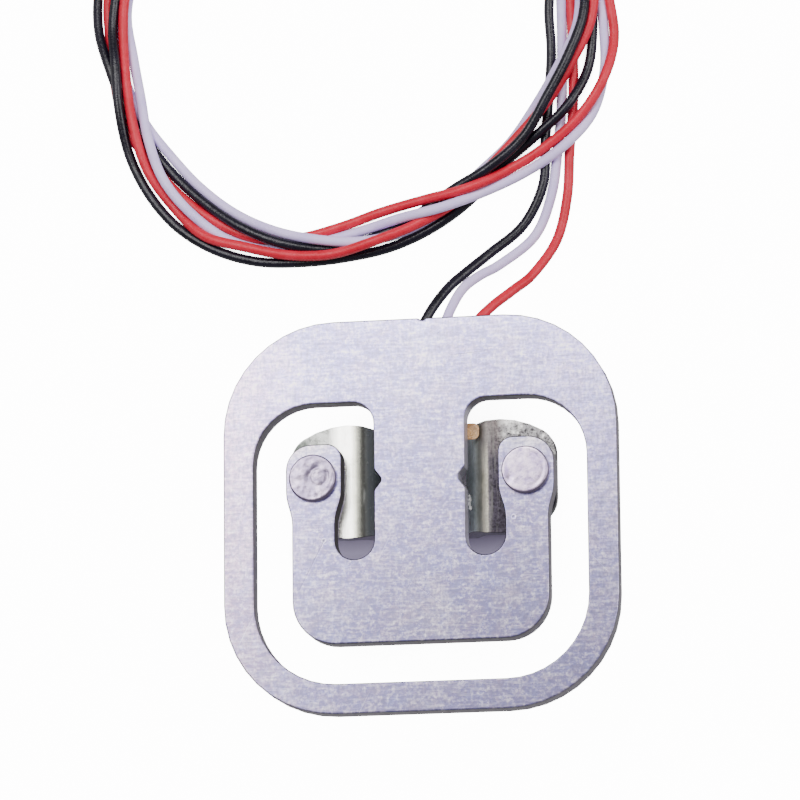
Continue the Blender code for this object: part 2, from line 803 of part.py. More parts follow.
def lead_coil(collection, cutters, material):
    """Outer shape of the coiled leads: an oval section swept round the coil's middle line."""
    section_curve = bpy.data.curves.new("coil_section", "CURVE")
    section_curve.dimensions = "2D"
    spline = section_curve.splines.new("POLY")
    outline = circle((0.0, 0.0), 0.5)[::-3]
    spline.points.add(len(outline) - 1)
    for point, (x, y) in zip(spline.points, outline):
        point.co = (x * COIL_WIDTH, y * COIL_HEIGHT, 0.0, 1.0)
    spline.use_cyclic_u = True
    section = bpy.data.objects.new("coil_section", section_curve)
    cutters.objects.link(section)
    as_cutter(section)
    points = smooth_route([(x, y, COIL_Z) for x, y in COIL_ROUTE], COIL_SPACING, closed=True)
    coil = tube("lead_coil", points, COIL_HEIGHT, collection, closed=True)
    coil.data.bevel_mode = "OBJECT"
    coil.data.bevel_object = section
    coil.data.twist_mode = "Z_UP"
    return paint(coil, material)


def sealant(collection, cutters, material):
    """Silicone laid over the gauge and the lead ends, with the room that those take up left open."""
    top = FOIL_BOTTOM - FILM_GAP
    length = SEALANT_TOP_Y - SEALANT_BOTTOM_Y
    form = bmesh.new()
    bmesh.ops.create_cube(form, size=1.0)
    bmesh.ops.scale(form, vec=(2 * SEALANT_HALF, length, 2 * SEALANT_DEPTH), verts=form.verts)
    bead = mesh_object("gauge_sealant", form, collection)
    bead.location = (0.0, (SEALANT_TOP_Y + SEALANT_BOTTOM_Y) / 2, top)
    corners = bead.modifiers.new("corners", "BEVEL")
    corners.width = SEALANT_DEPTH * 0.9
    corners.segments = 5
    slab = flat_solid(
        "sealant_top",
        [rectangle(-BEAM_WIDTH, -length, BEAM_WIDTH, 2 * length, OVERLAP)],
        top,
        top + 2 * SEALANT_DEPTH,
        cutters,
    )
    combine(bead, as_cutter(as_mesh(slab)), "DIFFERENCE")
    for lead in LEADS:
        behind = core_start(lead) - core_direction(lead) * (SOLDER_DIAMETER / 2 + CHANNEL_CLEARANCE)
        middle = core_start(lead) + core_direction(lead) * CORE_BARE_LENGTH
        route = smooth_route([behind, middle, *LEADS[lead]["route"][:3]], LEAD_DIAMETER)
        width = LEAD_DIAMETER + 2 * CHANNEL_CLEARANCE
        channel = tube("lead_channel", route, width, cutters)
        combine(bead, as_cutter(as_mesh(channel)), "DIFFERENCE")
    shade_round(bead)
    return paint(bead, material)


def build():
    clear_scene()
    part = new_collection("half_bridge_load_cell")
    cutters = new_collection("cutters")
    steel = new_material("plated_steel", (0.62, 0.60, 0.66), 0.85, 0.42)
    zinc = new_material("yellow_zinc", (0.55, 0.54, 0.42), 0.95, 0.25)
    rivet_steel = new_material("rivet_steel", (0.66, 0.62, 0.68), 0.85, 0.35)
    polyimide = new_material("polyimide", (0.62, 0.27, 0.06), 0.0, 0.35)
    constantan = new_material("constantan", (0.55, 0.42, 0.30), 1.0, 0.35)
    tin = new_material("tinned_copper", (0.70, 0.69, 0.66), 1.0, 0.30)
    silicone = new_material("silicone", (0.80, 0.79, 0.76), 0.0, 0.55)
    sensor_plate(part, steel)
    load_bracket(part, cutters, zinc)
    rivets(part, rivet_steel)
    gauge_film(part, polyimide)
    gauge_foil(part, cutters, constantan)
    sealant(part, cutters, silicone)
    for lead, design in LEADS.items():
        insulation = new_material(f"insulation_{lead}", design["colour"], 0.0, 0.40)
        solder_joint(lead, part, cutters, tin)
        lead_core(lead, part, tin)
        lead_tube(lead, part, insulation)
        lead_tail(lead, part, insulation)
        lead_tip(lead, part, tin)
    lead_coil(part, cutters, bpy.data.materials["insulation_black"])


build()
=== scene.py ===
import math

import bmesh
import bpy
from mathutils import Matrix, Vector, noise


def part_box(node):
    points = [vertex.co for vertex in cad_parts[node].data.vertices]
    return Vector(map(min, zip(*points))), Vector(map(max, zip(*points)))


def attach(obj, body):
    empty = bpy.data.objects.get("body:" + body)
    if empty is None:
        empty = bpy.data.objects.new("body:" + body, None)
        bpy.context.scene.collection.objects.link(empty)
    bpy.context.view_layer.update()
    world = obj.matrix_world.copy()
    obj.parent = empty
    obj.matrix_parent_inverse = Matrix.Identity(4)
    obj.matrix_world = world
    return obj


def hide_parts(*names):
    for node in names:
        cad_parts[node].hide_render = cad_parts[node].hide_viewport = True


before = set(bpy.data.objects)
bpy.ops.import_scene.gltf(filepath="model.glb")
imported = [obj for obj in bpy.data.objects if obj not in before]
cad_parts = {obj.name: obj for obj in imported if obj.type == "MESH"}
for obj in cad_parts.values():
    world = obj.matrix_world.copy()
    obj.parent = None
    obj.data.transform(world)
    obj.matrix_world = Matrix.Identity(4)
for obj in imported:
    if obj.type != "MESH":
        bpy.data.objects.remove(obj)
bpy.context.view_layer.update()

MM = 0.001

# Camera, in millimetres and degrees
CAMERA_PLACE = (74.507, -83.879, 457.5)
CAMERA_TURN = (11.518, 9.707, -0.547)
CAMERA_LENS = 245.37

# Place, size and power of each softbox, in metres and watts, and where they all point
SOFTBOXES = {
    "top_box": ((-0.03, 0.11, 0.22), (0.2, 0.09), 0.43),
    "left_box": ((-0.105, 0.03, 0.22), (0.06, 0.09), 0.15),
    "right_side": ((0.38, 0.09, 0.31), (0.3, 0.3), 1.6),
    "left_side": ((-0.5, 0.1, 0.22), (0.35, 0.35), 0.3),
}
LIT_PLACE = (0.0, 0.012, 0.0)
WORLD_STRENGTH = 0.25

# Floor seen past the bracket, below the round ends of the slots, where shadow is painted
SHADED_SPOTS = [(-6.795, -1.7), (4.495, -1.7)]

# Handling marks on the plate's face: start, end and width of each line, and middle and radius of
# each small pit
FACE_LINES = [
    ((-5.77, 9.93), (-4.85, 9.72), 0.05),
    ((-3.95, 8.52), (-2.75, 8.45), 0.07),
    ((-4.02, 11.32), (-2.91, 8.92), 0.03),
    ((-10.39, -6.22), (-8.2, -1.99), 0.06),
    ((2.9, 13.6), (6.1, 13.9), 0.03),
    ((-1.6, -5.2), (1.9, -7.9), 0.03),
    ((13.9, -3.2), (16.1, -5.6), 0.04),
]
FACE_PITS = [
    ((8.11, -0.65), 0.2),
    ((-8.28, -2.07), 0.17),
    ((12.6, 12.4), 0.14),
    ((3.1, -11.0), 0.12),
]
# Place of the beam's two locating nicks, where shade is painted on film and silicone
NICK_Y = 3.05

# Rounding of the plate's edges, the depths between which the CAD's fine rounding has its feet, how
# far a crest lies from its foot at most, and the circle round a rivet's hole that stays as it is
EDGE_ROUNDING = 0.14
FOOT_DEPTHS = (0.01, 0.02)
CREST_REACH = 0.08
RIVET_PLACE = (9.17, 3.35)
HOLE_MARGIN = 1.8

# Dent in the plate's upper edge beside the leads, and the strip that is cut up for it
DENT_X = 0.38
DENT_HALF_WIDTH = 0.44
DENT_DEPTH = 0.16
DENT_ABOVE = 6.5
DENT_CUTS = 4
EDGE_STRIP = 1.2
EDGE_BAND = 0.5

# Rivets
SHANK_RADIUS = 1.3
SHEET = 1.2
SEAT_GAP = 0.005
FACE_CROWN = 0.012

# Leads
LEAD_DIAMETER = 0.88
LEAD_SIDES = 7
LEAD_SPACING = 0.55
CORE_DIAMETER = 0.4
TIP_DIAMETER = 0.46
TIP_LENGTH = 3.5
TUCKED_IN = 0.3

# Strands: lobes of the twisted rod, sides of its ring, depth of the grooves and the shares by
# which its last rings close
LOBES = 6
RING_SIDES = 36
GROOVE = 0.12
END_SHARES = (0.61, 0.77, 0.93)

# Half section of a solder joint, in shares of its half width and of its depth
SOLDER_PROFILE = [
    (0.0, 0.0), (1.08, 0.0), (1.1, 0.04), (0.97, 0.14), (0.9, 0.34), (0.8, 0.6), (0.58, 0.84),
    (0.3, 0.97), (0.0, 1.0),
]

# Middle and size of each bead of silicone beside the beam
SILICONE_BEADS = [
    ((4.03, 1.62, 5.66), 0.13),
    ((4.07, 1.28, 5.7), 0.18),
    ((4.02, 0.95, 5.72), 0.15),
    ((4.09, 0.62, 5.68), 0.17),
]

# Route of each lead in millimetres: under the root bar, down to the table, two and a half turns of
# the coil and the free end. The coil's turns lie on and beside each other as in the photo. A point
# without a height rests on the table.
RESTING_HEIGHT = 0.47
LEAD_ROUTES = {
    "black": [
        (-2.22, 9.9, 4.86), (-1.72, 12.6, 4.86), (-0.95, 15, 4.84), (0, 16.9, 4.78),
        (0.9, 18.62, 4.36), (2.15, 20.55, 3.35), (3.7, 22.18, 2.32), (5.39, 23.79, 1.35),
        (8.29, 26.39, 0.53), (10.05, 29.95), (10.31, 33.93), (10.68, 37.92), (10.95, 41.91),
        (10.8, 45.91), (11.29, 49.87), (11.41, 53.85), (10.08, 57.58, 0.81), (8.31, 61.12, 1.33),
        (5.93, 64.24, 0.71), (3.09, 67.04), (-0.52, 68.66), (-4.43, 69.5), (-8.3, 70.5),
        (-12.27, 70.33), (-15.99, 68.88), (-19.13, 66.41), (-22.17, 63.81), (-24.83, 60.83),
        (-26.97, 57.46), (-28.48, 53.75), (-29.55, 49.9), (-29.52, 45.97, 0.81),
        (-28.4, 42.17, 1.33), (-26.97, 38.48, 0.9), (-24.88, 35.11), (-22.36, 32),
        (-19.45, 29.29, 0.76), (-16.19, 27.03, 1.23), (-12.51, 25.48, 1.35), (-8.64, 25.01, 0.69),
        (-4.79, 25.99), (-1.19, 27.73), (2.19, 29.71, 1.16), (5.65, 31.42, 2.06),
        (8.64, 34.03, 1.9), (10.75, 37.42, 2.18), (12.62, 40.95, 2.12), (13.99, 44.68, 1.83),
        (14.07, 48.62, 1.28), (13.86, 52.62, 1.33), (12.91, 56.49, 1.24), (10.95, 59.97, 1.23),
        (8.35, 63, 1.31), (5.24, 65.51, 1.33), (1.74, 67.43, 1.41), (-2.01, 68.69, 1.99),
        (-5.91, 69.51, 2.13), (-9.87, 69.43, 1.63), (-13.72, 68.52, 1.24), (-17.03, 66.3, 1.32),
        (-19.94, 63.6, 0.89), (-22.67, 60.71), (-25, 57.47, 0.72), (-26.61, 53.86, 1.22),
        (-27.62, 49.99, 1.35), (-28.12, 46.03, 1.33), (-27.74, 42.11, 1.97), (-27.44, 38.17, 1.71),
        (-26.74, 34.38, 0.7), (-25.02, 30.8), (-22.47, 27.72), (-19.16, 25.52), (-15.37, 24.27),
        (-11.39, 24), (-7.39, 24.26), (-3.47, 24.98), (0.22, 26.51), (3.52, 28.77), (6.26, 31.67),
        (9.39, 34.06, 1.06), (12.38, 36.64, 1.4), (14.17, 40.09, 0.64), (14.63, 44.04),
        (14.41, 48.03), (13.85, 51.99), (12.73, 55.83), (10.88, 59.36), (8.44, 62.53),
        (5.83, 65.56, 0.53), (2.79, 68.06, 1.21), (-0.58, 70.16, 1.1), (-4.43, 70.89),
        (-8.39, 71.4), (-12.36, 71.2), (-16.1, 69.8), (-19.57, 67.82), (-23.51, 67.21),
        (-27.46, 66.62), (-31.16, 65.11),
    ],
    "white": [
        (0.2, 9.9, 4.86), (0.62, 12.6, 4.86), (1.15, 15, 4.84), (1.9, 16.9, 4.78),
        (2.54, 18.62, 4.36), (3.38, 20.4, 3.3), (4.7, 21.7, 2.25), (6.4, 22.85, 1.3), (9.3, 25.41),
        (10.81, 29.08), (11.39, 33.04), (11.79, 37.02), (11.89, 41.02), (11.91, 45.03),
        (11.89, 48.99, 0.96), (11.78, 52.96, 1.3), (9.82, 56.39, 1.04), (7.95, 59.86),
        (5.13, 62.69), (1.8, 64.9), (-1.77, 66.71), (-5.55, 68), (-9.52, 68.25), (-13.39, 67.23),
        (-16.91, 65.35), (-19.82, 62.61), (-22.46, 59.6), (-24.75, 56.31), (-26.57, 52.75),
        (-27.79, 48.94), (-27.67, 44.97), (-27.06, 41.01), (-25.41, 37.39), (-23.02, 34.17),
        (-20.37, 31.18), (-17.25, 28.68), (-13.73, 26.87, 0.95), (-9.93, 25.79, 1.42),
        (-5.96, 25.44, 1.32), (-2.12, 26.31, 0.75), (1.36, 28.25), (4.19, 31.07), (7.14, 33.78),
        (9.52, 36.94, 0.8), (11.65, 40.25, 1.37), (13.33, 43.86, 1.17), (13.54, 47.77),
        (13.16, 51.72, 0.94), (12.3, 55.61, 1.26), (10.46, 59.15, 1.38), (8.12, 62.32, 1.99),
        (4.95, 64.65, 1.34), (1.74, 66.93, 0.66), (-1.97, 68.3, 1.16), (-5.94, 68.22, 1.35),
        (-9.79, 67.35, 0.74), (-13.6, 66.2), (-17.03, 64.15), (-19.83, 61.3), (-22.4, 58.23),
        (-24.59, 54.88), (-26.22, 51.23), (-27.02, 47.33), (-26.44, 43.37), (-25.66, 39.48, 0.93),
        (-24.91, 35.59, 1.35), (-23.54, 31.85, 1.33), (-21.07, 28.72, 1.12), (-17.92, 26.36, 0.49),
        (-14.1, 25.26), (-10.13, 25.63), (-6.23, 26.51, 0.52), (-2.42, 27.33, 1.41),
        (1.44, 27.97, 2.16), (5, 29.4, 1.14), (8.6, 31.02, 0.93), (11.99, 33.04, 1.39),
        (14.49, 36.03, 0.62), (15.59, 39.83), (15.6, 43.83), (15.28, 47.82), (15.45, 51.82),
        (14.63, 55.73), (12.95, 59.35), (10.62, 62.6), (8.09, 65.7), (5.1, 68.35), (1.46, 69.99),
        (-2.23, 71.55, 0.48), (-6.14, 71.54, 1.16), (-10.02, 70.59, 1.33), (-13.84, 69.42, 1.25),
        (-17.58, 67.99, 1.33), (-21.12, 66.3, 0.58), (-24.94, 65.12), (-28.66, 63.66),
        (-31.95, 61.38),
    ],
    "red": [
        (2.4, 9.9, 4.86), (3, 12.6, 4.86), (3.7, 15, 4.84), (4.62, 16.9, 4.78), (5.98, 18.45, 4.2),
        (7.68, 20.05, 3.1), (9.3, 21.7, 1.9), (11.24, 24.92, 0.68), (12.16, 28.76), (12.43, 32.73),
        (12.79, 36.69), (12.88, 40.67), (12.8, 44.64), (12.63, 48.62), (12.4, 52.59),
        (11.55, 56.45), (9.45, 59.82), (6.6, 62.59), (3.41, 64.95), (-0.06, 66.89), (-3.74, 68.39),
        (-7.63, 69.22), (-11.56, 68.72), (-15.28, 67.35), (-18.76, 65.43), (-21.84, 62.91),
        (-24.44, 59.9), (-26.35, 56.43), (-27.56, 52.64), (-28.7, 48.84), (-28.55, 44.88),
        (-28.11, 40.93), (-27.2, 37.1), (-24.97, 33.81), (-22.42, 30.76), (-19.35, 28.25),
        (-15.81, 26.46), (-11.88, 26.18), (-7.98, 27), (-4.19, 28.2), (-0.37, 28.93, 1.18),
        (3.44, 29.54, 2.01), (6.98, 31.15, 1.22), (10.42, 33.11, 1.32), (13.43, 35.69, 1.28),
        (15.64, 38.98, 1.33), (16.54, 42.75, 0.61), (16.13, 46.68, 0.73), (15.63, 50.57, 1.32),
        (14.73, 54.44, 1.3), (13.18, 58.1, 1.23), (10.97, 61.4, 1.22), (8.25, 64.3, 1.33),
        (5.06, 66.62, 1.64), (1.48, 68.29, 1.95), (-2.27, 69.3, 1.32), (-6.24, 69.16, 1.32),
        (-10.17, 68.57, 1.23), (-13.96, 67.4, 1.26), (-17.15, 65.05, 1.33), (-20.01, 62.28, 1.33),
        (-22.57, 59.24, 1.33), (-24.72, 55.89, 1.32), (-26.18, 52.2, 1.29), (-27.06, 48.33, 1.34),
        (-27.17, 44.36, 1.23), (-26.81, 40.41, 1.45), (-26.15, 36.5, 1.5), (-24.99, 32.75, 1.02),
        (-22.78, 29.51), (-20.02, 26.73, 1), (-16.28, 25.45, 1.32), (-12.41, 24.55, 1.23),
        (-8.49, 24.38, 1.56), (-4.66, 25.26, 2.03), (-1.01, 26.72, 1.44), (2.45, 28.63, 1.22),
        (5.28, 31.42, 1.21), (8.06, 34.25, 1.25), (10.7, 37.23, 1.32), (12.83, 40.58, 1.33),
        (14.55, 44.16, 1.32), (14.97, 48.08, 1.28), (14.65, 52.01, 0.83), (13.66, 55.84),
        (11.9, 59.4), (9.51, 62.58), (6.96, 65.63), (3.84, 68.05), (0.11, 69.41),
        (-3.77, 70.08, 0.91), (-7.7, 70.06, 1.27), (-11.58, 69.61, 0.55), (-15.31, 68.28, 0.61),
        (-18.78, 66.48, 1.33), (-22.36, 64.88, 0.77), (-25.91, 63.15), (-29.19, 60.92),
        (-31.85, 57.97),
    ],
}


def metres(point):
    return Vector(point) * MM


def placed(name, data):
    made = bpy.data.objects.new(name, data)
    bpy.context.scene.collection.objects.link(made)
    return made


def piece_of(name, form, finish, smooth_below):
    """A finished piece at the origin from its bmesh, riding on the cell."""
    mesh = bpy.data.meshes.new(name)
    form.to_mesh(mesh)
    form.free()
    mesh.shade_smooth()
    mesh.set_sharp_from_angle(angle=math.radians(smooth_below))
    mesh.materials.append(FINISHES[finish])
    made = placed(name, mesh)
    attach(made, "root")
    return made


# --- Shader nodes ---


def put(tree, kind, sockets=None, **settings):
    """A shader node with its settings, and its inputs set to numbers or linked to outputs."""
    made = tree.nodes.new(kind)
    for key, value in settings.items():
        setattr(made, key, value)
    for key, value in (sockets or {}).items():
        socket = made.inputs[key]
        if isinstance(value, bpy.types.NodeSocket):
            tree.links.new(value, socket)
        else:
            socket.default_value = value
    return made


def axes(tree, vector):
    return put(tree, "ShaderNodeSeparateXYZ", {"Vector": vector}).outputs[:]


def stepped(tree, value, low, high, to_low=0.0, to_high=1.0, **settings):
    """A value mapped from one range to another, and kept inside it."""
    sockets = {0: value, 1: low, 2: high, 3: to_low, 4: to_high}
    return put(tree, "ShaderNodeMapRange", sockets, **settings).outputs["Result"]


def reckoned(tree, operation, first, second=0.0, **settings):
    sockets = {0: first, 1: second}
    return put(tree, "ShaderNodeMath", sockets, operation=operation, **settings).outputs["Value"]


def product(tree, first, *others):
    for other in others:
        first = reckoned(tree, "MULTIPLY", first, other)
    return first


def summed(tree, *terms):
    """Sum of values, each with its own weight."""
    total = 0.0
    for value, weight in terms:
        sockets = {0: value, 1: weight, 2: total}
        total = put(tree, "ShaderNodeMath", sockets, operation="MULTIPLY_ADD").outputs["Value"]
    return total


def vector_math(tree, operation, first, second=(0.0, 0.0, 0.0), scale=1.0):
    sockets = {0: first, 1: second, 3: scale}
    made = put(tree, "ShaderNodeVectorMath", sockets, operation=operation)
    return made.outputs["Value" if operation in ("DOT_PRODUCT", "DISTANCE") else "Vector"]


def noise_at(tree, place, scale, detail, roughness=0.5, distortion=0.0):
    sockets = {
        "Vector": place,
        "Scale": scale,
        "Detail": detail,
        "Roughness": roughness,
        "Distortion": distortion,
    }
    return put(tree, "ShaderNodeTexNoise", sockets).outputs["Fac"]


def value_mix(tree, factor, first, second):
    sockets = {0: factor, 2: first, 3: second}
    return put(tree, "ShaderNodeMix", sockets, data_type="FLOAT").outputs[0]


def colour_mix(tree, factor, first, second, blend="MIX"):
    """Mixes two colours, each an output or its red, green and blue."""
    ends = [(*end, 1.0) if isinstance(end, tuple) else end for end in (first, second)]
    sockets = {0: factor, 6: ends[0], 7: ends[1]}
    return put(tree, "ShaderNodeMix", sockets, data_type="RGBA", blend_type=blend).outputs[2]


def banded(tree, value, stops):
    """Colour along a value, from (place, colour) stops in rising order."""
    made = put(tree, "ShaderNodeValToRGB", {"Fac": value})
    bands = made.color_ramp.elements
    while len(bands) < len(stops):
        bands.new(0.5)
    for band, (place, colour) in zip(bands, stops):
        band.position = place
        band.color = (*colour, 1.0)
    return made.outputs["Color"]


# --- Effects that several finishes share ---


def effect(name, inputs, outputs):
    """An empty node group with the values it is given and the sockets for its results."""
    tree = bpy.data.node_groups.new(name, "ShaderNodeTree")
    for label, value in inputs.items():
        kind = "NodeSocketFloat" if isinstance(value, float) else "NodeSocketVector"
        socket = tree.interface.new_socket(name=label, in_out="INPUT", socket_type=kind)
        if value is not None:
            socket.default_value = value
    for label in outputs:
        tree.interface.new_socket(name=label, in_out="OUTPUT", socket_type="NodeSocketFloat")
    return tree, tree.nodes.new("NodeGroupInput").outputs, tree.nodes.new("NodeGroupOutput").inputs


def patches_effect():
    """Cloudy patches with finer speckle in them, 0 to 1, and their height before the spread."""
    tree, given, result = effect(
        "cloudy_patches",
        {"Place": None, "Patch Scale": 400.0, "Speckle Scale": 2400.0, "Speckle": 0.4},
        ["Patches", "Height"],
    )
    broad = noise_at(tree, given["Place"], given["Patch Scale"], 4.0, 0.6, 0.4)
    fine = noise_at(tree, given["Place"], given["Speckle Scale"], 2.0, 0.7)
    height = value_mix(tree, given["Speckle"], broad, fine)
    spread = stepped(tree, height, 0.33, 0.67, interpolation_type="SMOOTHSTEP")
    tree.links.new(spread, result["Patches"])
    tree.links.new(height, result["Height"])
    return tree


def grain_effect():
    """Fine parallel lines left by rolling or grinding. Line Scale is their number per metre."""
    tree, given, result = effect(
        "rolling_grain", {"Place": None, "Line Scale": (150.0, 6000.0, 150.0)}, ["Grain"]
    )
    stretched = vector_math(tree, "MULTIPLY", given["Place"], given["Line Scale"])
    tree.links.new(noise_at(tree, stretched, 1.0, 3.0, 0.65, 0.15), result["Grain"])
    return tree


def scratch_effect():
    """Sparse long scratches at a given turn, 1 in a scratch."""
    tree, given, result = effect(
        "handling_scratches",
        {"Place": None, "Turn": (0.0, 0.0, 0.6), "Threshold": 0.70},
        ["Scratch"],
    )
    turned = put(
        tree,
        "ShaderNodeVectorRotate",
        {"Vector": given["Place"], "Rotation": given["Turn"]},
        rotation_type="EULER_XYZ",
    ).outputs["Vector"]
    stretched = vector_math(tree, "MULTIPLY", turned, (110.0, 7000.0, 110.0))
    lines = noise_at(tree, stretched, 1.0, 1.0, distortion=0.1)
    low = given["Threshold"]
    scratch = stepped(tree, lines, low, reckoned(tree, "ADD", low, 0.03))
    tree.links.new(scratch, result["Scratch"])
    return tree


def sheared_wall_effect():
    """Where a face stands upright, with the streaks that the punch leaves across its thickness."""
    tree, given, result = effect(
        "sheared_wall", {"Place": None, "Facing": None}, ["Wall", "Streaks"]
    )
    upright = reckoned(tree, "ABSOLUTE", axes(tree, given["Facing"])[2])
    stretched = vector_math(tree, "MULTIPLY", given["Place"], (4200.0, 4200.0, 260.0))
    tree.links.new(stepped(tree, upright, 0.8, 0.45), result["Wall"])
    tree.links.new(noise_at(tree, stretched, 1.0, 2.0), result["Streaks"])
    return tree


def line_mark_effect():
    """One short scratch between two places in plan, 1 along it."""
    tree, given, result = effect(
        "line_mark",
        {"Place": None, "Start": (0.0, 0.0, 0.0), "End": (0.001, 0.0, 0.0), "Width": 0.00005},
        ["Mark"],
    )
    plan = vector_math(tree, "MULTIPLY", given["Place"], (1.0, 1.0, 0.0))
    reach = vector_math(tree, "SUBTRACT", given["End"], given["Start"])
    away = vector_math(tree, "SUBTRACT", plan, given["Start"])
    along = vector_math(tree, "DOT_PRODUCT", away, reach)
    whole = vector_math(tree, "DOT_PRODUCT", reach, reach)
    share = reckoned(tree, "DIVIDE", along, whole, use_clamp=True)
    off = vector_math(tree, "DISTANCE", away, vector_math(tree, "SCALE", reach, scale=share))
    tree.links.new(stepped(tree, off, given["Width"], 0.0), result["Mark"])
    return tree


def pit_mark_effect():
    """One small round pit in plan: 1 on its raised rim, and 1 inside it."""
    tree, given, result = effect(
        "pit_mark",
        {"Place": None, "Middle": (0.0, 0.0, 0.0), "Radius": 0.0002},
        ["Rim", "Inside"],
    )
    plan = vector_math(tree, "MULTIPLY", given["Place"], (1.0, 1.0, 0.0))
    away = vector_math(tree, "DISTANCE", plan, given["Middle"])
    share = reckoned(tree, "DIVIDE", away, given["Radius"])
    from_rim = reckoned(tree, "ABSOLUTE", reckoned(tree, "SUBTRACT", share, 1.0))
    tree.links.new(stepped(tree, from_rim, 0.35, 0.05), result["Rim"])
    tree.links.new(stepped(tree, share, 0.75, 0.35), result["Inside"])
    return tree


PATCHES = patches_effect()
GRAIN = grain_effect()
SCRATCHES = scratch_effect()
SHEARED = sheared_wall_effect()
LINE_MARK = line_mark_effect()
PIT_MARK = pit_mark_effect()


def shared(tree, group, sockets):
    return put(tree, "ShaderNodeGroup", sockets, node_tree=group).outputs


def patches_at(tree, here, patch, speckle, share):
    sockets = {"Place": here, "Patch Scale": patch, "Speckle Scale": speckle, "Speckle": share}
    return shared(tree, PATCHES, sockets)


def grain_at(tree, here, *lines):
    return shared(tree, GRAIN, {"Place": here, "Line Scale": lines})["Grain"]


# --- Finishes. Places in them are in metres from the cell's origin. ---

FINISHES = {}


def finish_of(name, **sockets):
    """A new finish: its tree, its shader's inputs, and the place and the facing on the piece."""
    material = bpy.data.materials.new(name)
    material.use_nodes = True
    FINISHES[name] = material
    tree = material.node_tree
    shader = tree.nodes["Principled BSDF"].inputs
    for key, value in sockets.items():
        shader[key.replace("_", " ")].default_value = value
    place = tree.nodes.new("ShaderNodeTexCoord").outputs
    return tree, shader, place["Object"], place["Normal"]


def dress(tree, shader, colour, roughness, height, distance, normal=None):
    """Links a finish's colour and roughness, and its bumps over the face's own normal or the one
    given. A height of 1 is as high as the distance, in metres."""
    bump = put(tree, "ShaderNodeBump", {"Height": height, "Distance": distance})
    if normal is not None:
        tree.links.new(normal, bump.inputs["Normal"])
    tree.links.new(colour, shader["Base Color"])
    tree.links.new(roughness, shader["Roughness"])
    tree.links.new(bump.outputs["Normal"], shader["Normal"])


def face_marks(tree, here, upward):
    """Handling lines and pits of the plate's upper face, as (lines, rims, insides)."""
    lines = rims = insides = 0.0
    for start, end, width in FACE_LINES:
        ends = {"Start": metres((*start, 0.0)), "End": metres((*end, 0.0))}
        mark = shared(tree, LINE_MARK, {"Place": here, **ends, "Width": width * MM})
        lines = reckoned(tree, "MAXIMUM", mark["Mark"], lines)
    for middle, radius in FACE_PITS:
        spot = {"Middle": metres((*middle, 0.0)), "Radius": radius * MM}
        pit = shared(tree, PIT_MARK, {"Place": here, **spot})
        rims = reckoned(tree, "MAXIMUM", pit["Rim"], rims)
        insides = reckoned(tree, "MAXIMUM", pit["Inside"], insides)
    return [product(tree, mark, upward) for mark in (lines, rims, insides)]


